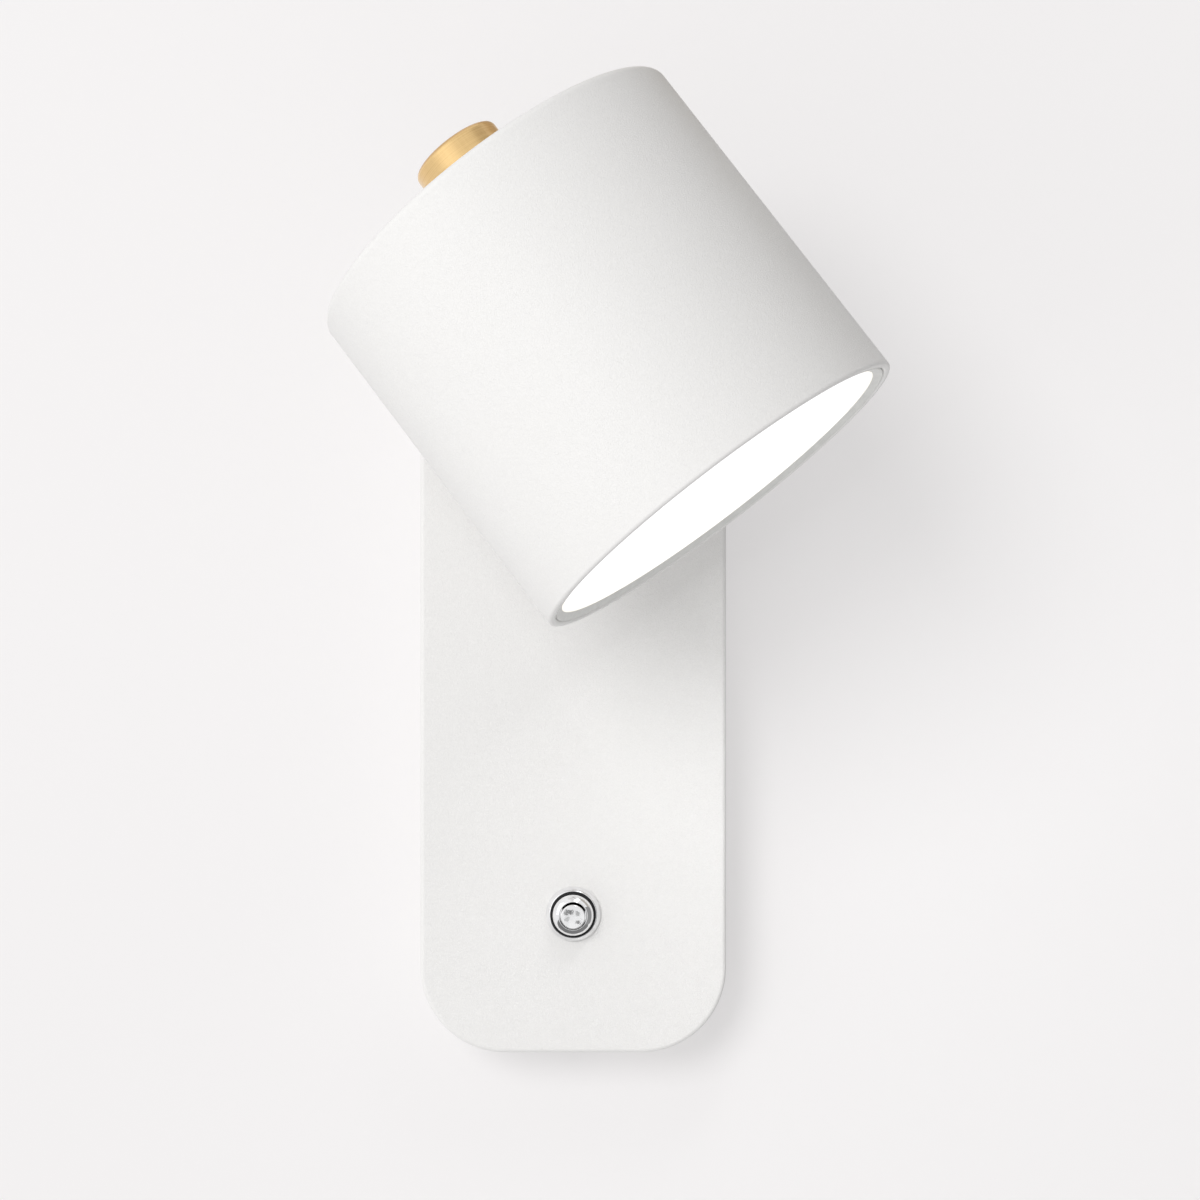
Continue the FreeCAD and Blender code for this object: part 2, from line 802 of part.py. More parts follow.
def tangent_arc(start, corner, end):
    """Arc from start to end that is tangent to both legs of the corner between them."""
    back = start - corner
    on = end - corner
    half = back.getAngle(on) / 2
    reach = (back.Length + on.Length) / 2
    radius = reach * math.tan(half)
    back.normalize()
    on.normalize()
    inward = back + on
    inward.normalize()
    middle = corner + inward * (radius / math.sin(half) - radius)
    return Part.Arc(start, middle, end).toShape()


def switch_spring():
    """Compression spring between the bushing's shoulder and the button's head, in quarter-turn biarcs."""
    start = bushing_shoulder + spring_wire / 2 + spring_end_gap
    end = button_seat - spring_wire / 2 - spring_end_gap
    pitch = (end - start) / spring_turns
    quarters = [helix_point(quarter / 4, start, pitch) for quarter in range(4 * spring_turns + 1)]
    edges = []
    for (first, leaving), (last, arriving) in zip(quarters, quarters[1:]):
        edges.extend(biarc(first, leaving, last, arriving))
    point, direction = quarters[0]
    section = Part.Wire(Part.makeCircle(spring_wire / 2, point, direction))
    print("switch_spring least gap between turns %.2f mm" % (pitch - spring_wire))
    return Part.Wire(edges).makePipeShell([section], True, False)


def switch_button():
    """Button head, stem and the collar that keeps it in the bushing."""
    collar_top = body_front_depth - face_gap
    collar_foot = collar_top - stem_collar_height
    return turned_outward([
        (0, collar_foot, 0), (stem_collar_radius, collar_foot, 0), (stem_collar_radius, collar_top, 0),
        (stem_radius, collar_top, 0), (stem_radius, button_seat, 0), (button_radius, button_seat, 0),
        (button_radius, button_top, button_round), (0, button_top, 0)], 0, switch_height)


# Leads inside the plate


def lead(name, route, diameter):
    """Round lead along straight runs joined by the largest arcs that the runs allow."""
    points = [at(*place) for place in route]
    edges = []
    radii = []
    start = points[0]
    for before, corner, after in zip(points, points[1:], points[2:]):
        back = before - corner
        on = after - corner
        reach = lead_bend_share * min(back.Length, on.Length)
        radii.append(reach * math.tan(back.getAngle(on) / 2))
        back.normalize()
        on.normalize()
        entry = corner + back * reach
        leave = corner + on * reach
        edges.append(Part.LineSegment(start, entry).toShape())
        edges.append(tangent_arc(entry, corner, leave))
        start = leave
    edges.append(Part.LineSegment(start, points[-1]).toShape())
    path = Part.Wire(edges)
    section = Part.Wire(Part.makeCircle(diameter / 2, points[0], points[1] - points[0]))
    tube = path.makePipeShell([section], True, False)
    area = math.pi * diameter * diameter / 4
    print("%s length %.1f mm, volume share %.4f, radii %s"
          % (name, path.Length, tube.Volume / (area * path.Length), ["%.1f" % radius for radius in radii]))
    return tube


def live_lead():
    """From the terminal block down to the switch's left tag."""
    x = terminal_way_places()[0]
    depth = plate_inside - terminal_bore_height
    beside = -tag_offset - tag_thickness / 2 - lead_diameter / 2 - face_gap
    end_depth = body_back_depth - tag_length / 2
    return lead("live_lead", [
        (x, depth, terminal_foot + insert_recess + lead_into_insert),
        (x, depth, terminal_foot - lead_run_short),
        (x + lead_drift, depth - lead_drift, terminal_foot - lead_run_long),
        (beside - lead_swing, end_depth + lead_swing / 2, switch_height + lead_run_short + lead_swing),
        (beside, end_depth, switch_height + lead_run_short), (beside, end_depth, switch_height)],
        lead_diameter)


def switched_lead():
    """From the switch's right tag up to the driver."""
    beside = tag_offset + tag_thickness / 2 + lead_diameter / 2 + face_gap
    start_depth = body_back_depth - tag_length / 2
    x = driver_centre_x + driver_entry_offset
    depth = driver_entry_depth()
    return lead("switched_lead", [
        (beside, start_depth, switch_height), (beside, start_depth, switch_height + lead_run_short),
        (beside + lead_swing, start_depth + lead_drift, switch_height + lead_run_short + lead_swing),
        (x, depth, driver_foot - driver_flange_length - lead_run_short), (x, depth, driver_foot)],
        lead_diameter)


def driver_entry_depth():
    """Depth at which the leads enter the driver's end."""
    return driver_back + driver_lid_thickness + driver_entry_inset


def neutral_lead():
    """From the terminal block across the plate to the driver."""
    x = terminal_way_places()[1]
    depth = plate_inside - terminal_bore_height
    end_x = driver_centre_x - driver_entry_offset
    end_depth = driver_entry_depth()
    low = driver_foot - driver_flange_length - lead_run_short
    return lead("neutral_lead", [
        (x, depth, terminal_foot + insert_recess + lead_into_insert),
        (x, depth, terminal_foot - lead_run_short),
        (x + lead_swing, depth, low - lead_drift), (-lead_drift, depth, low - lead_swing / 2),
        (end_x - lead_swing, depth - lead_drift, low - lead_drift),
        (end_x, end_depth, low + lead_drift), (end_x, end_depth, driver_foot)], lead_diameter)


def earth_lead():
    """From the terminal block to the ring tab on the bracket."""
    x = terminal_way_places()[2]
    depth = plate_inside - terminal_bore_height
    end_x = -earth_tab_radius - earth_barrel_length - face_gap
    return lead("earth_lead", [
        (x, depth, terminal_foot + insert_recess + lead_into_insert),
        (x, depth, terminal_foot - lead_run_short),
        (x - lead_drift / 2, (depth + earth_barrel_depth()) / 2, earth_height + lead_drift),
        (end_x - lead_run_short, earth_barrel_depth(), earth_height),
        (end_x, earth_barrel_depth(), earth_height)], lead_diameter)


def output_leads():
    """Pair from the driver up to the swivel's hollow nipple."""
    leads = []
    for side in (-1, 1):
        start_x = driver_centre_x + side * output_pair_half
        end_x = side * output_pair_half
        low = nipple_back - output_dip
        top = swivel_height
        leads.append(lead("output_lead", [
            (start_x, driver_entry_depth(), driver_head),
            (start_x, driver_entry_depth(), driver_head + driver_flange_length + lead_drift),
            (start_x - lead_swing, (driver_entry_depth() + low) / 2,
             top - lead_run_long + side * output_pair_half),
            (end_x + lead_swing, low, top - lead_run_short + side * output_pair_half),
            (end_x, low, top), (end_x, nipple_back + lead_into_nipple, top)], output_lead_diameter))
    return Part.makeCompound(leads)


# Arm, drawn hanging straight down and then turned to its rest angle


def swivel_nipple():
    """Hollow threaded tube that the arm turns on."""
    front = hub_base + nipple_socket_length - face_gap
    return ring_out(nipple_radius, nipple_bore, nipple_back, front, 0, swivel_height)


def swivel_nut():
    """Nut that clamps the swivel from inside the plate."""
    nut = hexagon(swivel_nut_flats, swivel_nut_back, swivel_nut_front, 0, swivel_height)
    return nut.cut(rod_out(nipple_radius + thread_clearance, 0, plate_depth, 0, swivel_height))


def swivel_spring_washer():
    """Spring washer that keeps the swivel's friction even."""
    return ring_out(spring_washer_radius, nipple_radius + thread_clearance, swivel_nut_front,
                    stop_washer_back, 0, swivel_height)


def stop_washer():
    """Washer with a tab, on the nipple, that limits the turn."""
    washer = rod_out(stop_washer_radius, stop_washer_back, stop_washer_front, 0, swivel_height)
    tab = rounded_block(stop_tab_width, stop_tab_reach, 0, stop_washer_back, stop_washer_front,
                        0, swivel_height - stop_tab_reach / 2)
    bore = rod_out(nipple_radius + thread_clearance, 0, plate_depth, 0, swivel_height)
    return washer.fuse(tab).cut(bore).removeSplitter()


def knuckle_fork():
    """Turned hub milled to a fork: round flange, neck and two ears about the pivot."""
    end = pivot_depth + fork_radius
    body = turned_outward([
        (0, hub_base, 0), (hub_radius, hub_base, 0), (hub_radius, hub_base + hub_height, hub_edge_radius),
        (fork_radius, hub_base + hub_height, fork_neck_round), (fork_radius, end, 0), (0, end, 0)],
        0, swivel_height)
    side_view = outline([
        (0, swivel_height - 2 * hub_radius, 0), (hub_base + hub_height, swivel_height - 2 * hub_radius, 0),
        (hub_base + hub_height + fork_neck_round, swivel_height - fork_radius, 0),
        (end, swivel_height - fork_radius, fork_radius - coincident),
        (end, swivel_height + fork_radius, fork_radius - coincident),
        (hub_base + hub_height + fork_neck_round, swivel_height + fork_radius, 0),
        (hub_base + hub_height, swivel_height + 2 * hub_radius, 0),
        (0, swivel_height + 2 * hub_radius, 0)], from_side)
    keep = Part.Face(side_view).extrude(SIDEWAYS * (4 * hub_radius))
    keep.translate(SIDEWAYS * (-2 * hub_radius))
    body = body.common(keep)
    slot = rounded_block(2 * slot_half_width, 4 * hub_radius, 0, slot_floor, end + overrun, 0, swivel_height)
    body = body.cut(slot)
    for side in (-1, 1):
        centre = side * (fork_half_width + hub_radius)
        flat = rounded_block(2 * hub_radius, 4 * hub_radius, 0, slot_floor, end + overrun, centre,
                             swivel_height)
        body = body.cut(flat)
    socket = rod_out(nipple_radius + thread_clearance, 0, hub_base + nipple_socket_length, 0, swivel_height)
    passage = rod_out(nipple_bore, 0, slot_floor + fixing_clearance, 0, swivel_height)
    body = body.cut(socket).cut(passage)
    bore = Part.makeCylinder(pivot_radius + thread_clearance, 4 * hub_radius,
                             at(-2 * hub_radius, pivot_depth, swivel_height), SIDEWAYS)
    return body.cut(bore).removeSplitter()


def across_knuckle(piece, x):
    """Lay a piece drawn along Z across the knuckle, with its seat at x on the pivot."""
    piece.rotate(FreeCAD.Vector(), FreeCAD.Vector(0, 1, 0), FULL_TURN / 4)
    piece.translate(at(x, pivot_depth, swivel_height))
    return piece


def pivot_bolt():
    """Domed bolt through the fork and the tongue."""
    length = 2 * fork_half_width + pivot_nut_height + pivot_past_nut
    screw = button_head_screw(pivot_radius, length, pivot_head_radius, pivot_head_height, pivot_head_round,
                              pivot_socket, pivot_socket_depth)
    return across_knuckle(screw, fork_half_width)


def pivot_nut():
    """Nut on the far ear of the fork."""
    nut = hexagon(pivot_nut_flats, 0, pivot_nut_height, 0, 0)
    nut = nut.cut(rod_out(pivot_radius + thread_clearance, -overrun, pivot_nut_height + overrun, 0, 0))
    nut.rotate(FreeCAD.Vector(), SIDEWAYS, FULL_TURN / 4)
    return across_knuckle(nut, -fork_half_width)


def tilt_washers():
    """Friction washer on each side of the tongue."""
    washers = []
    for side in (-1, 1):
        near = tongue_thickness / 2 + face_gap
        start = min(side * near, side * (near + tilt_washer_thickness))
        centre = at(start, pivot_depth, swivel_height)
        disc = Part.makeCylinder(tilt_washer_radius, tilt_washer_thickness, centre, SIDEWAYS)
        hole = Part.makeCylinder(pivot_radius + thread_clearance, tilt_washer_thickness, centre, SIDEWAYS)
        washers.append(disc.cut(hole))
    return Part.makeCompound(washers)


def turn_arm(piece):
    """Turn a piece of the arm about the swivel to its rest angle."""
    piece.rotate(at(0, 0, swivel_height), OUTWARD, swivel_rest)
    return piece


# Head, drawn about the shade's own axis: z = 0 is the mouth and the knuckle is on the side at +Y


def saddle_sector(inner, outer, half_height):
    """Piece of a tube round the shade, with rounded corners, centred on the knuckle."""
    length = 2 * shade_height
    tube = Part.makeCylinder(outer, length).cut(Part.makeCylinder(inner, length))
    window = rounded_block(2 * saddle_half_width, 2 * half_height, saddle_corner, -2 * shade_radius, 0,
                           0, pivot_along_shade)
    return tube.common(window)


def saddle_screw_holes(radius):
    """Cutters for the two screws beside the tongue."""
    cutters = []
    for side in (-1, 1):
        start = FreeCAD.Vector(side * saddle_screw_offset, 0, pivot_along_shade)
        cutters.append(Part.makeCylinder(radius, 2 * shade_radius, start, -OUTWARD))
    return Part.makeCompound(cutters)


def lead_hole(radius, near, far):
    """Cutter or sleeve at the place where the leads enter the shade."""
    start = FreeCAD.Vector(0, near, pivot_along_shade - lead_entry_offset)
    return Part.makeCylinder(radius, far - near, start, -OUTWARD)


def saddle_inner_radius():
    """Radius of the saddle's curved seat."""
    return shade_radius + seat_gap


def shade_bracket():
    """Tongue for the fork and the curved saddle that it stands on."""
    inner = saddle_inner_radius()
    saddle = saddle_sector(inner, inner + saddle_thickness, saddle_half_height)
    foot = tongue_foot_half_height
    foot_plane = inner + saddle_thickness / 2
    web = Part.makeBox(tongue_thickness, pivot_from_axis - foot_plane, 2 * foot,
                       FreeCAD.Vector(0, foot_plane, pivot_along_shade - foot))
    eye = Part.makeCylinder(tongue_radius, tongue_thickness,
                            FreeCAD.Vector(0, pivot_from_axis, pivot_along_shade), SIDEWAYS)
    tongue = web.fuse(eye)
    tongue.translate(SIDEWAYS * (-tongue_thickness / 2))
    bore = Part.makeCylinder(pivot_radius + turning_clearance, 2 * tongue_thickness,
                             FreeCAD.Vector(-tongue_thickness, pivot_from_axis, pivot_along_shade), SIDEWAYS)
    bracket = saddle.fuse(tongue).cut(bore)
    bracket = bracket.cut(saddle_screw_holes(saddle_screw_radius + thread_clearance))
    return bracket.cut(lead_hole(lead_hole_radius, 0, 2 * shade_radius)).removeSplitter()


def backing_plate():
    """Curved plate inside the shade with a flat for each screw's head."""
    outer = shade_inner_radius - seat_gap
    plate = saddle_sector(outer - backing_thickness, outer, backing_half_height)
    plate = plate.cut(saddle_screw_holes(saddle_screw_radius + fixing_clearance))
    for side in (-1, 1):
        start = FreeCAD.Vector(side * saddle_screw_offset, 0, pivot_along_shade)
        flat = Part.makeCylinder(saddle_screw_head_radius + fixing_clearance, spot_face(), start, -OUTWARD)
        plate = plate.cut(flat)
    return plate


def spot_face():
    """Distance of the screw heads' seats from the shade's axis."""
    return shade_inner_radius - seat_gap - backing_thickness + spot_face_rise


def bracket_screws():
    """Screws from inside the shade into the saddle."""
    screws = []
    length = saddle_inner_radius() + saddle_thickness - saddle_screw_inset - spot_face()
    for side in (-1, 1):
        screw = button_head_screw(saddle_screw_radius, length, saddle_screw_head_radius,
                                  saddle_screw_head_height, saddle_screw_head_round, plate_screw_socket,
                                  plate_screw_socket_depth)
        screw.rotate(FreeCAD.Vector(), SIDEWAYS, FULL_TURN / 4)
        screw.translate(FreeCAD.Vector(side * saddle_screw_offset, spot_face(), pivot_along_shade))
        screws.append(screw)
    return Part.makeCompound(screws)


def lead_grommet():
    """Sleeve with an inner flange where the leads pass the shade's wall."""
    flange_seat = shade_inner_radius - seat_gap - grommet_flange_seat_drop()
    outside = saddle_inner_radius() + saddle_thickness
    sleeve = lead_hole(lead_hole_radius - thread_clearance, flange_seat, outside)
    flange = lead_hole(grommet_flange_radius, flange_seat - grommet_flange_thickness, flange_seat)
    passage = lead_hole(lead_hole_radius - thread_clearance - grommet_wall, 0, 2 * shade_radius)
    return sleeve.fuse(flange).cut(passage).removeSplitter()


def grommet_flange_seat_drop():
    """How far the curved wall falls back at the edge of the grommet's flange."""
    return shade_inner_radius - math.sqrt(shade_inner_radius ** 2 - grommet_flange_radius ** 2)


def shade():
    """Spun drum, closed at the top, with a thick rolled rim at its mouth."""
    inner = shade_inner_radius
    rim = shade_radius - rim_width
    hole = stud_radius + fixing_clearance
    shell = turned([
        (rim, 0, rim_round), (shade_radius, 0, rim_round), (shade_radius, shade_height, shade_top_round),
        (hole, shade_height, 0), (hole, shade_height - shade_wall, 0),
        (inner, shade_height - shade_wall, shade_top_round - shade_wall), (inner, rim_height, rim_step_round),
        (rim, rim_height, rim_step_round)], turned_up, UP)
    shell = shell.cut(saddle_screw_holes(saddle_screw_radius + fixing_clearance))
    return shell.cut(lead_hole(lead_hole_radius, 0, 2 * shade_radius))


def brass_cap():
    """Turned brass cup with a tapped boss, on the middle of the shade's top."""
    top = shade_height + cap_height
    bore = stud_radius + thread_clearance
    boss_hole = shade_height + stud_in_cap + stud_end_play
    return turned([
        (bore, shade_height, 0), (cap_boss_radius, shade_height, 0), (cap_boss_radius, top - cap_top, 0),
        (cap_radius - cap_wall, top - cap_top, 0), (cap_radius - cap_wall, shade_height, 0),
        (cap_radius, shade_height, cap_foot_round), (cap_radius, top, cap_round), (0, top, 0),
        (0, boss_hole, 0), (bore, boss_hole, 0)], turned_up, UP)


def cap_stud():
    """Threaded rod that ties the cap, the shade's top and the heat spreader."""
    start = FreeCAD.Vector(0, 0, shade_height - shade_wall - stud_in_spreader)
    return Part.makeCylinder(stud_radius, stud_in_spreader + shade_wall + stud_in_cap, start)


def heat_spreader():
    """Turned aluminium disc with radial fins and a boss that reaches the shade's top."""
    roof = shade_height - shade_wall
    bore = stud_radius + thread_clearance
    hole_floor = roof - stud_in_spreader - stud_end_play
    top = spreader_base + spreader_thickness
    spreader = turned([
        (0, spreader_base, 0), (spreader_radius, spreader_base, 0), (spreader_radius, top, 0),
        (spreader_boss_radius, top, spreader_fillet), (spreader_boss_radius, roof, 0), (bore, roof, 0),
        (bore, hole_floor, 0), (0, hole_floor, 0)], turned_up, UP)
    for index in range(spreader_fin_count):
        fin = Part.makeBox(spreader_fin_end - spreader_fin_start, spreader_fin_thickness,
                           spreader_fin_height + coincident,
                           FreeCAD.Vector(spreader_fin_start, -spreader_fin_thickness / 2, top - coincident))
        fin.rotate(FreeCAD.Vector(), UP, (index + 0.5) * FULL_TURN / spreader_fin_count)
        spreader = spreader.fuse(fin)
    for point in ring_places(board_screw_count, board_screw_ring, spreader_base):
        spreader = spreader.cut(Part.makeCylinder(board_screw_radius + thread_clearance,
                                                  board_screw_length, point))
    wire_width = 2 * (head_pair_half + head_lead_diameter / 2 + fixing_clearance)
    corner = FreeCAD.Vector(-wire_width / 2, connector_reach, spreader_base - overrun)
    wire_slot = Part.makeBox(wire_width, spreader_radius, spreader_thickness + 2 * overrun, corner)
    return spreader.cut(connector_box(fixing_clearance)).cut(wire_slot).removeSplitter()


def ring_places(count, radius, z):
    """Evenly spread points on a circle about the shade's axis."""
    points = []
    for index in range(count):
        angle = 2 * math.pi * index / count
        points.append(FreeCAD.Vector(radius * math.cos(angle), radius * math.sin(angle), z))
    return points


def led_board():
    """Round circuit board under the spreader, with holes for its screws and connector."""
    board = Part.makeCylinder(board_radius, board_thickness, FreeCAD.Vector(0, 0, board_height))
    for point in ring_places(board_screw_count, board_screw_ring, board_height - overrun):
        board = board.cut(Part.makeCylinder(board_screw_radius + fixing_clearance, 2 * overrun, point))
    return board


def leds():
    """Two rings of light chips on the board's face."""
    chips = []
    for count, radius in ((led_inner_count, led_inner_ring), (led_outer_count, led_outer_ring)):
        for index in range(count):
            chip = Part.makeBox(led_length, led_width, led_height,
                                FreeCAD.Vector(radius - led_length / 2, -led_width / 2,
                                               board_height - led_height))
            chip.rotate(FreeCAD.Vector(), UP, (index + 0.5) * FULL_TURN / count)
            chips.append(chip)
    return Part.makeCompound(chips)


def board_screws():
    """Screws that clamp the board to the spreader."""
    screws = []
    for point in ring_places(board_screw_count, board_screw_ring, board_height):
        length = board_thickness + board_screw_length - face_gap
        shank = Part.makeCylinder(board_screw_radius, length, point)
        head = Part.makeCylinder(board_screw_head_radius, board_screw_head_height,
                                 point - UP * board_screw_head_height)
        screws.append(shank.fuse(head))
    return Part.makeCompound(screws)


def connector_box(margin):
    """Block of the board's connector, or the window for it in the spreader."""
    length = connector_length + 2 * margin
    width = connector_width + 2 * margin
    corner = FreeCAD.Vector(-width / 2, connector_reach - length / 2, spreader_base)
    return Part.makeBox(width, length, connector_height + margin, corner)


def board_connector():
    """Small plug on the back of the board, with the two wire entries in its outer face."""
    box = connector_box(0)
    for side in (-1, 1):
        box = box.cut(head_lead_socket(side))
    return box


def head_lead_socket(side):
    """Cutter for one wire entry of the connector."""
    start = FreeCAD.Vector(side * head_pair_half, connector_reach, connector_wire_height())
    return Part.makeCylinder(head_lead_diameter / 2 + fixing_clearance, connector_length, start, -OUTWARD)


def connector_wire_height():
    """Height of the wire entries, above the spreader's fins' root."""
    return spreader_base + connector_height - connector_entry_inset


def head_leads():
    """Pair from the grommet to the board's connector."""
    leads = []
    entry = pivot_along_shade - lead_entry_offset
    outside = saddle_inner_radius() + saddle_thickness
    inside = connector_reach + connector_entry_gap
    for side in (-1, 1):
        x = side * head_pair_half
        share_places = [(0.0, 0.0), (0.32, 0.05), (0.66, 0.95), (1.0, 1.0)]
        route = []
        for along_share, rise_share in share_places:
            y = outside + (inside - outside) * along_share
            z = entry + (connector_wire_height() - entry) * rise_share
            route.append((x, -y, z))
        leads.append(lead("head_lead", route, head_lead_diameter))
    return Part.makeCompound(leads)


def reflector():
    """White cone between the board and the diffuser."""
    foot = diffuser_recess + diffuser_thickness
    foot_top = foot + reflector_flange_thickness
    flange = board_height - reflector_flange_thickness
    return turned([
        (reflector_foot_radius, foot, 0), (reflector_foot_flange, foot, 0),
        (reflector_foot_flange, foot_top, 0), (reflector_foot_radius + reflector_wall, foot_top, 0),
        (reflector_top_radius + reflector_wall, flange, 0), (board_radius, flange, 0),
        (board_radius, board_height, 0), (reflector_top_radius, board_height, 0)], turned_up, UP)


def diffuser():
    """Opal disc that closes the shade's mouth."""
    return Part.makeCylinder(diffuser_radius, diffuser_thickness, FreeCAD.Vector(0, 0, diffuser_recess))


def diffuser_ring():
    """Bevelled ring in the rim that holds the diffuser."""
    return turned([
        (ring_inner_radius, diffuser_recess - ring_lip, ring_round),
        (ring_outer_radius, ring_outer_recess, ring_round), (ring_outer_radius, ring_height, 0),
        (ring_pocket_radius, ring_height, 0), (ring_pocket_radius, diffuser_recess, 0),
        (ring_inner_radius, diffuser_recess, 0)], turned_up, UP)


def place_head(piece):
    """Bring a piece of the head from the shade's frame to its tilted and turned rest place."""
    pivot = at(0, pivot_depth, swivel_height)
    piece.translate(pivot - FreeCAD.Vector(0, pivot_from_axis, pivot_along_shade))
    piece.rotate(pivot, SIDEWAYS, -tilt_rest)
    return turn_arm(piece)


fixed_pieces = [wall_bracket, wall_plate, plate_screws, stop_stud, terminal_block, terminal_inserts,
                terminal_screws, terminal_fixings, led_driver, driver_lid, driver_fixings, earth_screw,
                earth_tab, switch_flange, switch_seal, switch_dome_ring, switch_bushing, switch_back_nut,
                switch_body, switch_tags, switch_spring, switch_button, live_lead, switched_lead,
                neutral_lead, earth_lead, output_leads]
arm_pieces = [swivel_nipple, swivel_nut, swivel_spring_washer, stop_washer, knuckle_fork, pivot_bolt,
              pivot_nut, tilt_washers]
head_pieces = [shade_bracket, backing_plate, bracket_screws, lead_grommet, shade, brass_cap, cap_stud,
               heat_spreader, led_board, leds, board_screws, board_connector, head_leads, reflector,
               diffuser, diffuser_ring]

for make in fixed_pieces:
    nodes[make.__name__] = make()
nodes["swivel_inner_washer"] = ring_out(swivel_inner_washer_radius, nipple_radius + fixing_clearance,
                                        stop_washer_front, plate_inside, 0, swivel_height)
nodes["swivel_outer_washer"] = ring_out(swivel_outer_washer_radius, nipple_radius + fixing_clearance,
                                        plate_depth, hub_base, 0, swivel_height)
for make in arm_pieces:
    nodes[make.__name__] = turn_arm(make())
for make in head_pieces:
    nodes[make.__name__] = place_head(make())

os.makedirs("parts", exist_ok=True)
for name, shape in nodes.items():
    shape.exportStep("parts/" + name + ".step")
    print(name, len(shape.Solids), shape.isValid(), "%.1f mm3" % shape.Volume)
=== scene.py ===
import json
import logging
import math
from dataclasses import dataclass
from enum import Enum
from typing import Callable, Iterator, Sequence

import bmesh
import bpy
from mathutils import Matrix, Vector

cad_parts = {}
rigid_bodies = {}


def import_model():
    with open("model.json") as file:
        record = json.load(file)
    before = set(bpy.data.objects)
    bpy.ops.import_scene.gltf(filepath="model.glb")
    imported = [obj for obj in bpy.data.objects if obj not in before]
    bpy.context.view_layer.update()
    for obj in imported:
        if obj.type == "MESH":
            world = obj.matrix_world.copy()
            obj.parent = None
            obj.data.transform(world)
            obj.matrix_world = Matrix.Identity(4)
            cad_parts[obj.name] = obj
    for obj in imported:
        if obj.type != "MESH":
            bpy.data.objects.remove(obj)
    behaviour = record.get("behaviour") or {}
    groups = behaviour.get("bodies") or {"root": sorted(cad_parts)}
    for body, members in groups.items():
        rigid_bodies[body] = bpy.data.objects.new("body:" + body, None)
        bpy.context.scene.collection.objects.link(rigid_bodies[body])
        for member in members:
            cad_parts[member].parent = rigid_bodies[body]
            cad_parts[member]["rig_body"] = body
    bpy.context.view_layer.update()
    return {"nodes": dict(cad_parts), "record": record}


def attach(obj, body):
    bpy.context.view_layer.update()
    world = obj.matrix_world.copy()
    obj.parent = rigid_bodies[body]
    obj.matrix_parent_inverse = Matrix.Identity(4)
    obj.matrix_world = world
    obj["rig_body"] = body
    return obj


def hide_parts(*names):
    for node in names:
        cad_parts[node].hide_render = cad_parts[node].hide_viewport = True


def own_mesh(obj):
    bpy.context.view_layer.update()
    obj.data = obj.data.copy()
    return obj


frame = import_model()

# Adjustable wall light, dressed. Everything is in metres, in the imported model's own frame: the wall is the
# plane y = 0, the light stands out from it towards -Y, and +Z is up.

MM = 0.001
NEAR = 0.01 * MM
SAME_POINT = NEAR / 10
FULL_TURN = 2 * math.pi
QUARTER_TURN = math.pi / 2
OUTWARD = Vector((0, -1, 0))
LOG = logging.getLogger("wall_light")

# Facets that meet within FLAT_ANGLE are one flat, edges past EDGE_ANGLE are rounded, and edges past
# CREASE_ANGLE stay creases.
FLAT_ANGLE = math.radians(0.4)
EDGE_ANGLE = math.radians(40)
CREASE_ANGLE = math.radians(32)
ROUND_STEPS = 2

# Where a thread's crest starts and ends, as shares of the pitch.
CREST = (3 / 8, 5 / 8)

# Measures that several assemblies and finishes share.
PLATE_DEPTH = 25 * MM
SWIVEL_HEIGHT = 86.5 * MM
SWITCH_HEIGHT = -84 * MM
BUSHING_SHOULDER = 19 * MM
KNUCKLE_ALONG_SHADE = 74.7 * MM
CAP_RADIUS = 12.6 * MM
MOUTH_RADIUS = 50.3 * MM

Pair = tuple[float, float]
Corner = tuple[float, float, float]
Colour = tuple[float, float, float]
Making = Iterator[tuple[bpy.types.Object, str]]
BLACK: Colour = (0.0, 0.0, 0.0)
WHITE: Colour = (1.0, 1.0, 1.0)
WARM: Colour = (1.0, 0.82, 0.6)
CREAM: Colour = (1.0, 0.94, 0.86)


class Slot(Enum):
    """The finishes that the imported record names."""

    WHITE_COAT = "white_coat"
    ZINC_STEEL = "zinc_steel"
    SPRING_STEEL = "spring_steel"
    SATIN_BRASS = "satin_brass"
    TERMINAL_BRASS = "terminal_brass"
    CHROME = "chrome"
    BLACK_SEAL = "black_seal"
    BLACK_PLASTIC = "black_plastic"
    WHITE_PLASTIC = "white_plastic"
    NYLON = "nylon"
    OPAL = "opal"
    ALUMINIUM = "aluminium"
    LED_PHOSPHOR = "led_phosphor"
    BROWN_LEAD = "brown_lead"
    BLUE_LEAD = "blue_lead"
    GREEN_LEAD = "green_lead"
    WHITE_LEAD = "white_lead"


SLOT_OF_NODE = {part["node"]: Slot(part["material_slot"]) for part in frame["record"]["subparts"]}


# The modelling bench


def clear_selection() -> None:
    """Leave nothing selected and nothing in edit mode."""
    if bpy.context.object is not None and bpy.context.object.mode != "OBJECT":
        bpy.ops.object.mode_set(mode="OBJECT")
    bpy.ops.object.select_all(action="DESELECT")


def choose(piece: bpy.types.Object) -> None:
    """Select one object alone and make it the active one.

    Args:
        piece: The object to work on.
    """
    clear_selection()
    piece.select_set(True)
    bpy.context.view_layer.objects.active = piece


def apply_modifier(piece: bpy.types.Object, kind: str, **settings: object) -> None:
    """Add a modifier, set it and apply it to the mesh.

    Args:
        piece: The object that gets the modifier.
        kind: The modifier's type.
        settings: Values of the modifier's properties.
    """
    choose(piece)
    modifier = piece.modifiers.new(kind.lower(), kind)
    for name, value in settings.items():
        setattr(modifier, name, value)
    bpy.ops.object.modifier_apply(modifier=modifier.name)


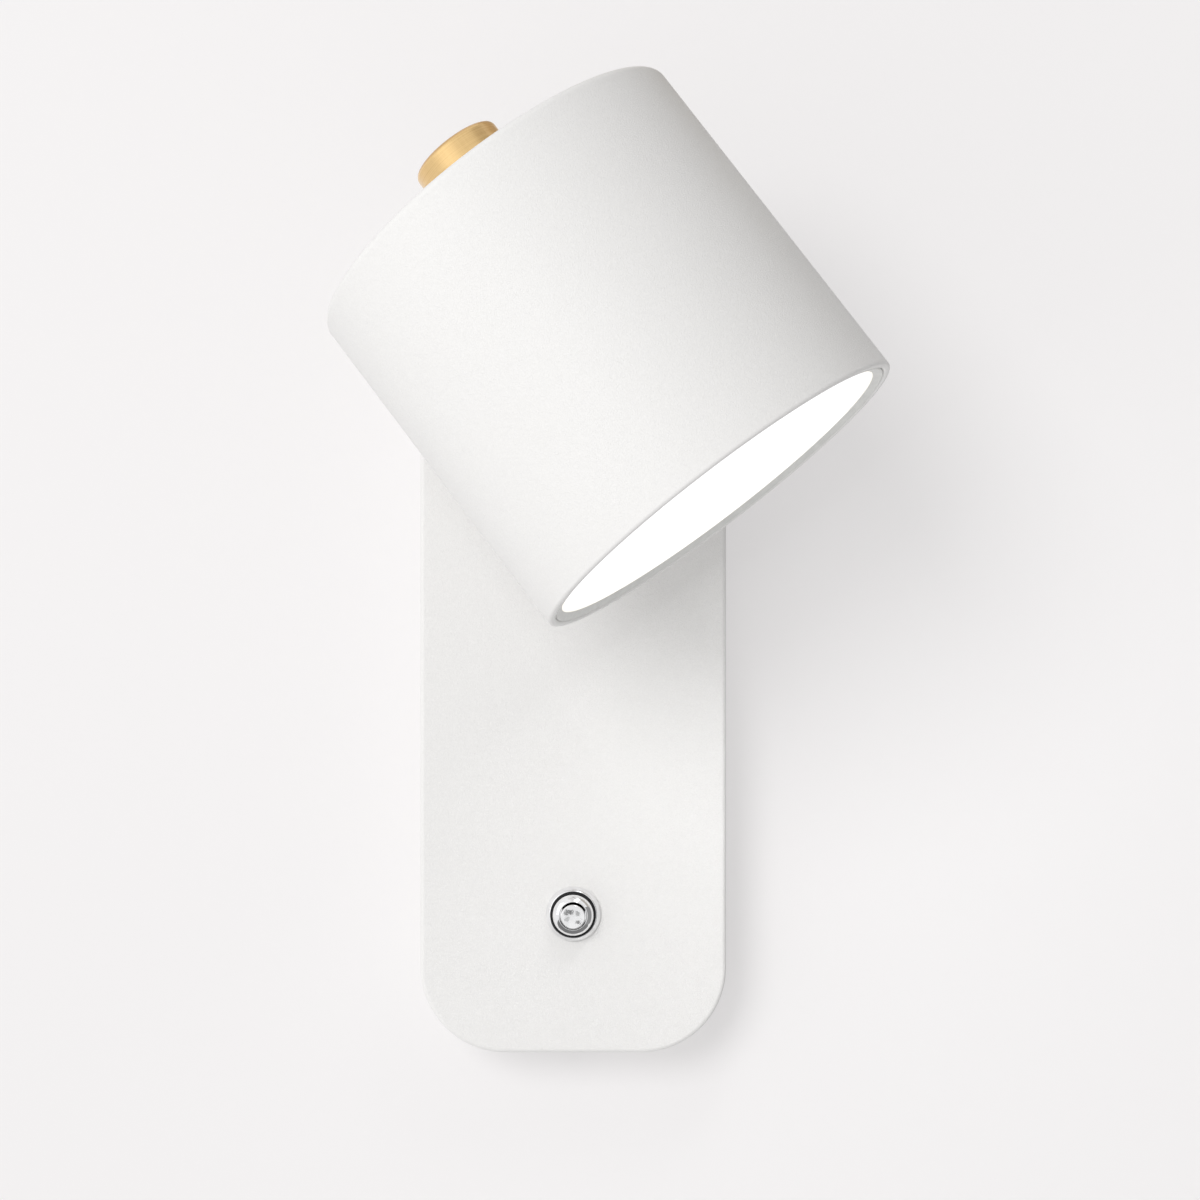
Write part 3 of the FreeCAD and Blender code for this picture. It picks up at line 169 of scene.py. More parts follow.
def smooth(piece: bpy.types.Object) -> bpy.types.Object:
    """Shade a piece smoothly, with crisp creases and flats that stay flat.

    Args:
        piece: The finished shape.

    Returns:
        The same object.
    """
    choose(piece)
    bpy.ops.object.shade_smooth_by_angle(angle=CREASE_ANGLE)
    apply_modifier(piece, "WEIGHTED_NORMAL", keep_sharp=True)
    return piece


def stand(piece: bpy.types.Object, place: Matrix) -> bpy.types.Object:
    """Bring a piece from its drawing frame to its place, and leave the place in its mesh.

    Args:
        piece: The object, drawn about the origin.
        place: From the drawing frame to the row frame.

    Returns:
        The same object.
    """
    piece.matrix_world = place
    choose(piece)
    bpy.ops.object.transform_apply(location=True, rotation=True, scale=True)
    return piece


def drill(piece: bpy.types.Object, radius: float, start: Vector, end: Vector, facets: int = 96) -> None:
    """Cut a round hole through a piece.

    Args:
        piece: The object that is drilled.
        radius: The hole's radius.
        start: One end of the hole's axis.
        end: The other end.
        facets: Sides of the hole.
    """
    clear_selection()
    along = end - start
    turn = along.to_track_quat("Z", "Y").to_euler()
    bpy.ops.mesh.primitive_cylinder_add(vertices=facets, radius=radius, depth=along.length,
                                        location=(start + end) / 2, rotation=turn)
    cutter = bpy.context.object
    apply_modifier(piece, "BOOLEAN", object=cutter, operation="DIFFERENCE", solver="EXACT")
    bpy.data.objects.remove(cutter)


class Workpiece:
    """One mesh in edit mode, from its primitive to the moment it leaves the bench."""

    def __init__(self, name: str) -> None:
        """Take the primitive that was just added, and go into edit mode.

        Args:
            name: Name of the piece.
        """
        self.piece = bpy.context.object
        self.piece.name = name
        self.piece.data.name = name
        bpy.ops.object.mode_set(mode="EDIT")
        bpy.ops.mesh.select_mode(type="VERT")

    @classmethod
    def upright_plane(cls, name: str, width: float, height: float) -> "Workpiece":
        """Start from a plane on the wall that faces outwards.

        Args:
            name: Name of the piece.
            width: Size along X.
            height: Size along Z.

        Returns:
            The workpiece.
        """
        clear_selection()
        bpy.ops.mesh.primitive_plane_add(size=1, rotation=(QUARTER_TURN, 0, 0))
        bpy.ops.object.transform_apply(location=True, rotation=True, scale=True)
        work = cls(name)
        bpy.ops.transform.resize(value=(width, 1, height))
        return work

    @classmethod
    def point(cls, name: str, place: Vector) -> "Workpiece":
        """Start a profile from a small plane that is merged to its middle.

        Args:
            name: Name of the piece.
            place: The first point.

        Returns:
            The workpiece.
        """
        clear_selection()
        bpy.ops.mesh.primitive_plane_add(size=MM)
        work = cls(name)
        bpy.ops.mesh.merge(type="CENTER")
        bpy.ops.transform.translate(value=place)
        return work

    def draw_on(self, step: Vector) -> None:
        """Draw an edge on from the selected point by a step."""
        bpy.ops.mesh.extrude_vertices_move(TRANSFORM_OT_translate={"value": step})

    def extrude(self, step: Vector) -> None:
        """Draw the selected faces out by a step."""
        bpy.ops.mesh.extrude_region_move(TRANSFORM_OT_translate={"value": step})

    def inset(self, width: float) -> None:
        """Set the selected faces in from their outline."""
        bpy.ops.mesh.inset(thickness=width, use_even_offset=True)

    def round_points(self, radius: float, steps: int) -> None:
        """Round the selected corners of a flat outline."""
        bpy.ops.mesh.bevel(offset=radius, segments=steps, affect="VERTICES")

    def round_edges(self, radius: float, steps: int) -> None:
        """Round the selected edges."""
        bpy.ops.mesh.bevel(offset=radius, segments=steps, affect="EDGES")

    def pick_faces(self, wanted: Callable[[bmesh.types.BMFace], bool]) -> None:
        """Select the faces that a test picks, and no others.

        Args:
            wanted: Says whether a face is picked.
        """
        bpy.ops.mesh.select_mode(type="FACE")
        mesh = self._deselected()
        for face in mesh.faces:
            if wanted(face):
                face.select_set(True)
        bmesh.update_edit_mesh(self.piece.data)

    def pick_edges_at(self, depth: float) -> None:
        """Select the edges that lie at a depth out from the wall.

        Args:
            depth: Distance from the wall.
        """
        bpy.ops.mesh.select_mode(type="EDGE")
        mesh = self._deselected()
        for edge in mesh.edges:
            if all(abs(point.co.y + depth) < NEAR for point in edge.verts):
                edge.select_set(True)
        bmesh.update_edit_mesh(self.piece.data)

    def _deselected(self) -> bmesh.types.BMesh:
        """Deselect everything and return the mesh in edit mode."""
        bpy.ops.mesh.select_all(action="DESELECT")
        return bmesh.from_edit_mesh(self.piece.data)

    def close_up(self) -> None:
        """Merge doubled points and turn every face outwards."""
        bpy.ops.mesh.select_all(action="SELECT")
        bpy.ops.mesh.remove_doubles(threshold=SAME_POINT)
        bpy.ops.mesh.normals_make_consistent(inside=False)

    def leave(self) -> bpy.types.Object:
        """Leave edit mode and return the object."""
        bpy.ops.object.mode_set(mode="OBJECT")
        return self.piece


@dataclass(frozen=True)
class Lathe:
    """Turns profiles about the Z axis of their drawing frame.

    A profile is a list of corners (radius, height, rounding). One that starts and ends on the axis makes a
    solid piece, and one that stays clear of it makes a ring.
    """

    facets: int
    corner_steps: int

    def turn(self, name: str, corners: Sequence[Corner]) -> bpy.types.Object:
        """Draw a profile and spin it.

        Args:
            name: Name of the piece.
            corners: The profile.

        Returns:
            The turned piece, in its drawing frame.
        """
        line = self.rounded_line(corners)
        if min(point.x for point in line) > 0:
            line.append(line[0])
        work = Workpiece.point(name, line[0])
        for start, end in zip(line, line[1:]):
            work.draw_on(end - start)
        bpy.ops.mesh.select_all(action="SELECT")
        bpy.ops.mesh.spin(steps=self.facets, angle=FULL_TURN, center=(0, 0, 0), axis=(0, 0, 1))
        work.close_up()
        return smooth(work.leave())

    def rounded_line(self, corners: Sequence[Corner]) -> list[Vector]:
        """Round the corners of a profile by arcs.

        Args:
            corners: The profile, as (radius, height, rounding).

        Returns:
            Points in the plane y = 0.
        """
        line = []
        for index, (radius, height, rounding) in enumerate(corners):
            corner = Vector((radius, 0, height))
            if rounding == 0:
                line.append(corner)
                continue
            last = corners[index - 1]
            following = corners[(index + 1) % len(corners)]
            before = (Vector((last[0], 0, last[1])) - corner).normalized()
            after = (Vector((following[0], 0, following[1])) - corner).normalized()
            half = before.angle(after) / 2
            middle = corner + (before + after).normalized() * (rounding / math.sin(half))
            first = corner + before * (rounding / math.tan(half)) - middle
            final = corner + after * (rounding / math.tan(half)) - middle
            for step in range(self.corner_steps + 1):
                line.append(middle + first.slerp(final, step / self.corner_steps) * rounding)
        return line


def thread(radius: float, start: float, end: float, pitch: float, depth: float) -> list[Corner]:
    """Ridges of a screw thread along a turned piece's side, drawn as rings.

    Args:
        radius: Radius over the crests.
        start: Height of the first ridge's foot.
        end: Height where the last ridge ends.
        pitch: Distance from crest to crest.
        depth: Depth of the grooves.

    Returns:
        Corners of the profile from start to end.
    """
    count = round(abs(end - start) / pitch)
    step = (end - start) / count
    corners = []
    for index in range(count):
        foot = start + index * step
        corners += [(radius - depth, foot, 0), *((radius, foot + step * share, 0) for share in CREST)]
    return corners + [(radius - depth, end, 0)]


def outward_at(height: float) -> Matrix:
    """Place of a turned piece whose axis stands out from the wall at a height."""
    return Matrix.Translation((0, 0, height)) @ Matrix.Rotation(QUARTER_TURN, 4, "X")


def finished_copy(node: str, edge_round: float) -> bpy.types.Object:
    """Take a piece over from the frame, join its facets, round its edges and smooth it.

    Args:
        node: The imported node.
        edge_round: Rounding of its sharp edges, or 0 for a round lead or spring.

    Returns:
        A new object with the node's shape.
    """
    clear_selection()
    name = f"{node}_finished"
    mesh = frame["nodes"][node].data.copy()
    mesh.name = name
    mesh.materials.clear()
    piece = bpy.data.objects.new(name, mesh)
    bpy.context.scene.collection.objects.link(piece)
    choose(piece)
    if mesh.has_custom_normals:
        bpy.ops.mesh.customdata_custom_splitnormals_clear()
    work = Workpiece(name)
    bpy.ops.mesh.select_all(action="SELECT")
    bpy.ops.mesh.remove_doubles(threshold=SAME_POINT)
    if edge_round > 0:
        bpy.ops.mesh.dissolve_limited(angle_limit=FLAT_ANGLE)
    work.leave()
    if edge_round > 0:
        apply_modifier(piece, "BEVEL", width=edge_round, segments=ROUND_STEPS, limit_method="ANGLE",
                       angle_limit=EDGE_ANGLE, use_clamp_overlap=False)
    return smooth(piece)


# Finishes


class Graph:
    """A material's node tree, with short calls that add and join its nodes."""

    def __init__(self, name: str) -> None:
        """Start a material with its shader and the Object coordinates.

        Args:
            name: Name of the material.
        """
        self.material = bpy.data.materials.new(name)
        self.material.use_nodes = True
        self.tree = self.material.node_tree
        self.shader = next(node for node in self.tree.nodes if node.type == "BSDF_PRINCIPLED")
        self.position = self.add("ShaderNodeTexCoord").outputs["Object"]

    @classmethod
    def of_world(cls, world: bpy.types.World) -> "Graph":
        """Open a world's node tree.

        Args:
            world: The world.

        Returns:
            Its graph.
        """
        graph = cls.__new__(cls)
        graph.tree = world.node_tree
        return graph

    def add(self, kind: str, inputs: dict[str, object] | None = None, **settings: object) -> bpy.types.Node:
        """Add a node.

        Args:
            kind: The node's type.
            inputs: Values or output sockets for its inputs, by name.
            settings: Values of its properties.

        Returns:
            The node.
        """
        node = self.tree.nodes.new(kind)
        for name, value in settings.items():
            setattr(node, name, value)
        self.feed(node, inputs or {})
        return node

    def feed(self, node: bpy.types.Node, inputs: dict[str, object]) -> None:
        """Set or join a node's inputs.

        Args:
            node: The node.
            inputs: Values or output sockets, by the input's name.
        """
        for name, value in inputs.items():
            if isinstance(value, bpy.types.NodeSocket):
                self.tree.links.new(value, node.inputs[name])
            else:
                node.inputs[name].default_value = value

    def turned(self, place: Matrix) -> bpy.types.NodeSocket:
        """Coordinates in a piece's own drawing frame.

        Args:
            place: From the drawing frame to the row frame.

        Returns:
            The vector socket.
        """
        back = place.inverted()
        return self.add("ShaderNodeMapping", {"Vector": self.position, "Location": back.to_translation(),
                                              "Rotation": back.to_euler()}).outputs["Vector"]

    def stretched(self, vector: bpy.types.NodeSocket, factors: Sequence[float]) -> bpy.types.NodeSocket:
        """Coordinates scaled by a factor along each axis.

        Args:
            vector: The coordinates.
            factors: The factor along X, Y and Z.

        Returns:
            The vector socket.
        """
        node = self.add("ShaderNodeVectorMath", operation="MULTIPLY")
        self.tree.links.new(vector, node.inputs[0])
        node.inputs[1].default_value = factors
        return node.outputs["Vector"]

    def noise(self, vector: bpy.types.NodeSocket, scale: float, detail: float = 2.0,
              distortion: float = 0.0) -> bpy.types.NodeSocket:
        """A noise value from 0 to 1, with so many waves per metre, finer layers and swirl."""
        return self.add("ShaderNodeTexNoise", {"Vector": vector, "Scale": scale, "Detail": detail,
                                               "Distortion": distortion}).outputs["Fac"]

    def spread(self, value: bpy.types.NodeSocket, low: float, high: float,
               fades: Pair) -> bpy.types.NodeSocket:
        """A number that goes from low to high as a value goes from one fade to the other."""
        return self.add("ShaderNodeMapRange", {"Value": value, "From Min": fades[0], "From Max": fades[1],
                                               "To Min": low, "To Max": high}).outputs["Result"]

    def tones(self, value: bpy.types.NodeSocket, first: Colour, second: Colour,
              fades: Pair) -> bpy.types.NodeSocket:
        """A colour that goes from one tone to another.

        Args:
            value: What drives the colour.
            first: Tone at the first fade.
            second: Tone at the second fade.
            fades: Values at which the two tones stand.

        Returns:
            The colour socket.
        """
        ramp = self.add("ShaderNodeValToRGB", {"Fac": value})
        for element, position, tone in zip(ramp.color_ramp.elements, fades, (first, second)):
            element.position = position
            element.color = (*tone, 1)
        return ramp.outputs["Color"]

    def math(self, operation: str, *values: object) -> bpy.types.NodeSocket:
        """Work a value out of others.

        Args:
            operation: The Math node's operation.
            values: Numbers or output sockets.

        Returns:
            The value socket.
        """
        node = self.add("ShaderNodeMath", operation=operation)
        for socket, value in zip(node.inputs, values):
            if isinstance(value, bpy.types.NodeSocket):
                self.tree.links.new(value, socket)
            else:
                socket.default_value = value
        return node.outputs["Value"]

    def added(self, first: bpy.types.NodeSocket, second: bpy.types.NodeSocket,
              share: float) -> bpy.types.NodeSocket:
        """The first value plus a share of the second."""
        return self.math("MULTIPLY_ADD", second, share, first)

    def blend(self, factor: bpy.types.NodeSocket, first: object, second: object) -> bpy.types.NodeSocket:
        """A value that goes from the first to the second as the factor goes from 0 to 1."""
        mix = self.add("ShaderNodeMix", {"Factor": factor, "A": first, "B": second}, data_type="FLOAT")
        return mix.outputs["Result"]

    def tinted(self, colour: bpy.types.NodeSocket, tint: Colour,
               factor: bpy.types.NodeSocket) -> bpy.types.NodeSocket:
        """A colour that goes over to a tint.

        Args:
            colour: The colour.
            tint: The tint.
            factor: 0 for the colour alone and 1 for the tint alone.

        Returns:
            The colour socket.
        """
        mix = self.add("ShaderNodeMix", {"Factor": factor}, data_type="RGBA")
        first, second = [socket for socket in mix.inputs if socket.type == "RGBA"]
        self.tree.links.new(colour, first)
        second.default_value = (*tint, 1)
        return next(socket for socket in mix.outputs if socket.type == "RGBA")

    def looking(self) -> bpy.types.NodeSocket:
        """1 for what the camera sees, also by reflection or through glass, and 0 for what only lights.

        Returns:
            The value socket.
        """
        rays = self.add("ShaderNodeLightPath").outputs
        direct = self.math("MAXIMUM", rays["Is Camera Ray"], rays["Is Glossy Ray"])
        return self.math("MAXIMUM", direct, rays["Is Transmission Ray"])

    def relief(self, height: bpy.types.NodeSocket, depth: float) -> None:
        """Let a height of 0 to 1 stand out of the surface by up to a depth."""
        bump = self.add("ShaderNodeBump", {"Height": height, "Distance": depth})
        self.feed(self.shader, {"Normal": bump.outputs["Normal"]})

    def surface(self, **inputs: object) -> None:
        """Set or join the shader's inputs.

        Args:
            inputs: Values or output sockets, by the input's name in snake case.
        """
        for name, value in inputs.items():
            label = name.replace("_", " ").title().replace("Ior", "IOR")
            if label.endswith("Color") and not isinstance(value, bpy.types.NodeSocket):
                value = (*value, 1)
            self.feed(self.shader, {label: value})


def darker(colour: Colour, share: float) -> Colour:
    """A colour at a share of its lightness."""
    return tuple(channel * share for channel in colour)


@dataclass(frozen=True)
class Finish:
    """A surface finish.

    Attributes:
        colour: Its linear colour.
        roughness: Its middle roughness.
        darkest: Share of the colour that its darkest spots have.
        fades: Values of the texture between which the colour lightens.
        swing: How far the roughness goes down and up from its middle.
        rough_fades: Values of the texture between which the roughness rises.
        relief: How far the texture stands out.
    """

    colour: Colour
    roughness: float
    darkest: float = 0.9
    fades: Pair = (0.35, 0.65)
    swing: Pair = (0.05, 0.05)
    rough_fades: Pair = (0.3, 0.7)
    relief: float = 0.01 * MM

    def dress(self, graph: Graph) -> None:
        """Lay the finish into a material."""
        raise NotImplementedError

    def mottled(self, graph: Graph, value: bpy.types.NodeSocket) -> bpy.types.NodeSocket:
        """The colour, at its darkest where a value is low."""
        return graph.tones(value, darker(self.colour, self.darkest), self.colour, self.fades)

    def uneven(self, graph: Graph, value: bpy.types.NodeSocket) -> bpy.types.NodeSocket:
        """The roughness, which rises with a value."""
        down, up = self.swing
        return graph.spread(value, self.roughness - down, self.roughness + up, self.rough_fades)

    def material(self, name: str) -> bpy.types.Material:
        """Make the material.

        Args:
            name: Name of the material.

        Returns:
            The material.
        """
        graph = Graph(name)
        self.dress(graph)
        return graph.material


@dataclass(frozen=True)
class PowderCoat(Finish):
    """Matt powder coat with a fine orange peel."""

    darkest: float = 0.96
    fades: Pair = (0.45, 0.8)
    relief: float = 0.12 * MM
    peel_size: float = 0.7 * MM
    speck_size: float = 0.175 * MM
    cloud_size: float = 35 * MM
    minor_share: float = 0.25
    sheen: float = 0.35

    def dress(self, graph: Graph) -> None:
        """Lay the finish into a material.

        Args:
            graph: The material's graph.
        """
        peel = graph.noise(graph.position, 1 / self.peel_size, detail=1.5, distortion=2.0)
        speck = graph.noise(graph.position, 1 / self.speck_size, detail=1.0)
        cloud = graph.noise(graph.position, 1 / self.cloud_size)
        graph.surface(base_color=self.mottled(graph, graph.added(peel, cloud, self.minor_share)),
                      roughness=self.uneven(graph, peel), specular_ior_level=self.sheen)
        graph.relief(graph.added(peel, speck, self.minor_share), self.relief)


@dataclass(frozen=True)
class BrushedBrass(Finish):
    """Satin brass, brushed round its axis and lacquered, with painted shade along its two edges.

    Attributes:
        place: Where the cap's drawing frame stands.
        deep: Colour in the brush lines.
        edge_shade: Darker colour painted along the cap's two edges as painted shade.
        line_pitch: Distance between brush lines.
        line_waves: Waves per metre along a line that runs round the axis.
        cross_waves: Waves per metre along a line that crosses them.
        cross_scale: Scale of the crossing lines.
        cross_share: Share of the crossing lines.
        middle: Height of the cap's middle.
        reach: Distance from there to the cap's edges.
        radius: The cap's radius.
        edge_width: Width of the painted shade along the edges.
        lacquer: Weight of the lacquer.
        lacquer_roughness: Roughness of the lacquer.
    """

    fades: Pair = (0.2, 0.75)
    swing: Pair = (0.04, 0.05)
    rough_fades: Pair = (0.4, 0.9)
    relief: float = 0.001 * MM
    place: Matrix = Matrix.Identity(4)
    deep: Colour = (0.66, 0.41, 0.15)
    # Painted shade: a darker tone laid along the cap's top and foot edges.
    edge_shade: Colour = (0.50, 0.26, 0.07)
    line_pitch: float = 0.14 * MM
    line_waves: float = 60.0
    cross_waves: float = 90.0
    cross_scale: float = 0.6
    cross_share: float = 0.35
    middle: float = 107.6 * MM
    reach: float = 9.2 * MM
    radius: float = CAP_RADIUS
    edge_width: float = 1.0 * MM
    lacquer: float = 0.7
    lacquer_roughness: float = 0.25

    def dress(self, graph: Graph) -> None:
        """Lay the finish into a material.

        Args:
            graph: The material's graph.
        """
        own = graph.turned(self.place)
        fine = 1 / self.line_pitch
        around = graph.noise(graph.stretched(own, (self.line_waves, self.line_waves, fine)), 1.0, detail=3.0)
        along = graph.noise(graph.stretched(own, (fine, fine, self.cross_waves)), self.cross_scale)
        brush = graph.added(around, along, self.cross_share)
        metal = graph.tones(brush, self.deep, self.colour, self.fades)
        # The base colour goes over to the painted edge shade along the cap's two edges.
        graph.surface(base_color=graph.tinted(metal, self.edge_shade, self.edges(graph, own)), metallic=1.0,
                      roughness=self.uneven(graph, brush), coat_weight=self.lacquer,
                      coat_roughness=self.lacquer_roughness)
        graph.relief(brush, self.relief)

    def edges(self, graph: Graph, own: bpy.types.NodeSocket) -> bpy.types.NodeSocket:
        """A value that is 1 along the cap's two edges, where the painted shade goes, and 0 elsewhere.

        Args:
            graph: The material's graph.
            own: Coordinates in the drawing frame.

        Returns:
            The value socket.
        """
        axes = graph.add("ShaderNodeSeparateXYZ", {"Vector": own}).outputs
        from_middle = graph.math("ABSOLUTE", graph.math("SUBTRACT", axes["Z"], self.middle))
        from_axis = graph.math("SQRT", graph.math("ADD", graph.math("POWER", axes["X"], 2),
                                                  graph.math("POWER", axes["Y"], 2)))
        low_or_high = graph.spread(from_middle, 0.0, 1.0, (self.reach - self.edge_width, self.reach))
        outside = graph.spread(from_axis, 0.0, 1.0, (self.radius - 2 * self.edge_width,
                                                     self.radius - self.edge_width))
        return graph.math("MULTIPLY", low_or_high, outside)


@dataclass(frozen=True)
class PolishedChrome(Finish):
    """Mirror chrome with a faint waviness and handling haze."""

    swing: Pair = (0.0, 0.03)
    relief: float = 0.008 * MM
    wave_size: float = 1.6 * MM
    haze_size: float = 4.0 * MM

    def dress(self, graph: Graph) -> None:
        """Lay the finish into a material.

        Args:
            graph: The material's graph.
        """
        wave = graph.noise(graph.position, 1 / self.wave_size, distortion=0.6)
        haze = graph.noise(graph.position, 1 / self.haze_size, detail=3.0)
        graph.surface(base_color=self.mottled(graph, haze), metallic=1.0,
                      roughness=self.uneven(graph, haze))
        graph.relief(wave, self.relief)


@dataclass(frozen=True)
class WorkedMetal(Finish):
    """Plain machined or drawn metal, with fine tool marks."""

    darkest: float = 0.8
    swing: Pair = (0.08, 0.1)
    relief: float = 0.006 * MM
    mark_size: float = 0.25 * MM
    mark_stretch: tuple[float, float, float] = (0.25, 1.0, 0.25)
    mottle_size: float = 4.0 * MM

    def dress(self, graph: Graph) -> None:
        """Lay the finish into a material.

        Args:
            graph: The material's graph.
        """
        drawn = graph.stretched(graph.position, self.mark_stretch)
        marks = graph.noise(drawn, 1 / self.mark_size, detail=3.0)
        cloud = graph.noise(graph.position, 1 / self.mottle_size, detail=3.0)
        graph.surface(base_color=self.mottled(graph, cloud), metallic=1.0,
                      roughness=self.uneven(graph, marks))
        graph.relief(marks, self.relief)


@dataclass(frozen=True)
class ZincPlate(Finish):
    """Bright zinc plate with faint spangle and a cool tint."""

    fades: Pair = (0.1, 1.1)
    swing: Pair = (0.08, 0.08)
    rough_fades: Pair = (0.0, 1.4)
    relief: float = 0.004 * MM
    tint: Colour = (0.60, 0.62, 0.65)
    spangle_size: float = 3.0 * MM
    grain_size: float = 0.5 * MM
    grain_in_colour: float = 0.3
    grain_in_roughness: float = 0.5

    def dress(self, graph: Graph) -> None:
        """Lay the finish into a material.

        Args:
            graph: The material's graph.
        """
        cells = graph.add("ShaderNodeTexVoronoi", {"Vector": graph.position, "Scale": 1 / self.spangle_size})
        cell = graph.add("ShaderNodeSeparateColor", {"Color": cells.outputs["Color"]}).outputs["Red"]
        grain = graph.noise(graph.position, 1 / self.grain_size, detail=3.0)
        spangle = graph.added(cell, grain, self.grain_in_colour)
        graph.surface(base_color=graph.tones(spangle, self.tint, self.colour, self.fades), metallic=1.0,
                      roughness=self.uneven(graph, graph.added(cell, grain, self.grain_in_roughness)))
        graph.relief(grain, self.relief)


@dataclass(frozen=True)
class Moulding(Finish):
    """Moulded plastic or rubber with a fine spark-eroded grain."""

    darkest: float = 0.93
    swing: Pair = (0.06, 0.08)
    grain_size: float = 0.18 * MM
    flow_size: float = 6.0 * MM

    def dress(self, graph: Graph) -> None:
        """Lay the finish into a material.

        Args:
            graph: The material's graph.
        """
        grain = graph.noise(graph.position, 1 / self.grain_size)
        flow = graph.noise(graph.position, 1 / self.flow_size, distortion=1.5)
        graph.surface(base_color=self.mottled(graph, flow), roughness=self.uneven(graph, grain))
        graph.relief(grain, self.relief)


@dataclass(frozen=True)
class LitOpal(Finish):
    """Opal acrylic, lit from behind, brightest in its middle and cream at its edge.

    Attributes:
        place: Where the disc's drawing frame stands.
        radius: Radius of the part that shows.
        glow: Brightness in the middle.
        rim_glow: Brightness at the edge.
        glow_fades: Shares of the radius between which it falls off.
        edge_tone: Colour of the light at the edge.
        edge_fades: Shares of the radius between which the light takes that colour on.
        frost_waves: Waves of the frosting per metre.
        sheen: How strongly the face reflects.
    """

    darkest: float = 0.97
    swing: Pair = (0.04, 0.04)
    relief: float = 0.003 * MM
    place: Matrix = Matrix.Identity(4)
    radius: float = MOUTH_RADIUS
    glow: float = 8.5
    rim_glow: float = 1.0
    glow_fades: Pair = (0.25, 0.8)
    edge_tone: Colour = (0.80, 0.765, 0.69)
    edge_fades: Pair = (0.972, 0.992)
    frost_waves: float = 2600.0
    sheen: float = 0.3

    def dress(self, graph: Graph) -> None:
        """Lay the finish into a material.

        Args:
            graph: The material's graph.
        """
        flat = graph.stretched(graph.turned(self.place), (1 / self.radius, 1 / self.radius, 0))
        distance = graph.add("ShaderNodeVectorMath", operation="LENGTH")
        graph.tree.links.new(flat, distance.inputs[0])
        from_middle = distance.outputs["Value"]
        frost = graph.noise(graph.position, self.frost_waves)
        graph.surface(base_color=self.mottled(graph, frost), roughness=self.uneven(graph, frost),
                      specular_ior_level=self.sheen,
                      emission_color=graph.tones(from_middle, WHITE, self.edge_tone, self.edge_fades),
                      emission_strength=graph.spread(from_middle, self.glow, self.rim_glow, self.glow_fades))
        graph.relief(frost, self.relief)


@dataclass(frozen=True)
class Insulation(Finish):
    """Extruded insulation of a lead, with a stripe where it has two colours."""

    swing: Pair = (0.05, 0.07)
    drawn_waves: float = 900.0
    stripe: Colour | None = None
    stripe_pitch: float = 5.5 * MM
    stripe_fades: Pair = (0.52, 0.58)
    stripe_waver: float = 0.3
    band_scale: float = 0.314

    def dress(self, graph: Graph) -> None:
        """Lay the finish into a material.

        Args:
            graph: The material's graph.
        """
        drawn = graph.noise(graph.position, self.drawn_waves)
        colour = self.mottled(graph, drawn)
        if self.stripe is not None:
            bands = graph.add("ShaderNodeTexWave", {"Vector": graph.position, "Distortion": self.stripe_waver,
                                                    "Scale": self.band_scale / self.stripe_pitch},
                              bands_direction="DIAGONAL")
            colour = graph.tones(bands.outputs["Fac"], self.colour, self.stripe, self.stripe_fades)
        graph.surface(base_color=colour, roughness=self.uneven(graph, drawn))
        graph.relief(drawn, self.relief)


@dataclass(frozen=True)
class Phosphor(Finish):
    """Yellow phosphor gel over a light chip."""

    darkest: float = 0.85
    swing: Pair = (0.0, 0.15)
    grain_waves: float = 5000.0
    gel: float = 0.2

    def dress(self, graph: Graph) -> None:
        """Lay the finish into a material.

        Args:
            graph: The material's graph.
        """
        grains = graph.noise(graph.position, self.grain_waves, detail=3.0)
        graph.surface(base_color=self.mottled(graph, grains), roughness=self.uneven(graph, grains),
                      subsurface_weight=self.gel, subsurface_scale=MM)
        graph.relief(grains, self.relief)


class Palette:
    """Makes each slot's material once."""

    def __init__(self, head: Matrix) -> None:
        """Set the finish of each slot.

        Args:
            head: Place of the shade's drawing frame.
        """
        self.finishes = {
            Slot.WHITE_COAT: PowderCoat((0.87, 0.86, 0.848), 0.46),
            Slot.ZINC_STEEL: ZincPlate((0.66, 0.67, 0.69), 0.36),
            Slot.SPRING_STEEL: WorkedMetal((0.50, 0.50, 0.51), 0.3),
            Slot.SATIN_BRASS: BrushedBrass((0.86, 0.60, 0.275), 0.33, place=head),
            Slot.TERMINAL_BRASS: WorkedMetal((0.80, 0.61, 0.30), 0.27),
            Slot.CHROME: PolishedChrome((0.95, 0.95, 0.96), 0.03),
            Slot.BLACK_SEAL: Moulding((0.008, 0.008, 0.009), 0.7),
            Slot.BLACK_PLASTIC: Moulding((0.03, 0.03, 0.032), 0.42),
            Slot.WHITE_PLASTIC: Moulding((0.74, 0.74, 0.72), 0.42),
            Slot.NYLON: Moulding((0.66, 0.65, 0.60), 0.38),
            Slot.OPAL: LitOpal((0.3, 0.3, 0.3), 0.34, place=head),
            Slot.ALUMINIUM: WorkedMetal((0.74, 0.75, 0.76), 0.34, darkest=0.9, mark_size=0.5 * MM),
            Slot.LED_PHOSPHOR: Phosphor((0.78, 0.62, 0.12), 0.45),
            Slot.BROWN_LEAD: Insulation((0.13, 0.055, 0.025), 0.36),
            Slot.BLUE_LEAD: Insulation((0.035, 0.12, 0.42), 0.36),
            Slot.GREEN_LEAD: Insulation((0.04, 0.27, 0.06), 0.36, stripe=(0.75, 0.62, 0.03)),
            Slot.WHITE_LEAD: Insulation((0.68, 0.68, 0.66), 0.36),
        }
        self.materials: dict[Slot, bpy.types.Material] = {}

    def material(self, slot: Slot) -> bpy.types.Material:
        """The slot's material, made on its first use.

        Args:
            slot: The finish.

        Returns:
            The material.
        """
        if slot not in self.materials:
            self.materials[slot] = self.finishes[slot].material(slot.value)
        return self.materials[slot]


# Sub-assemblies


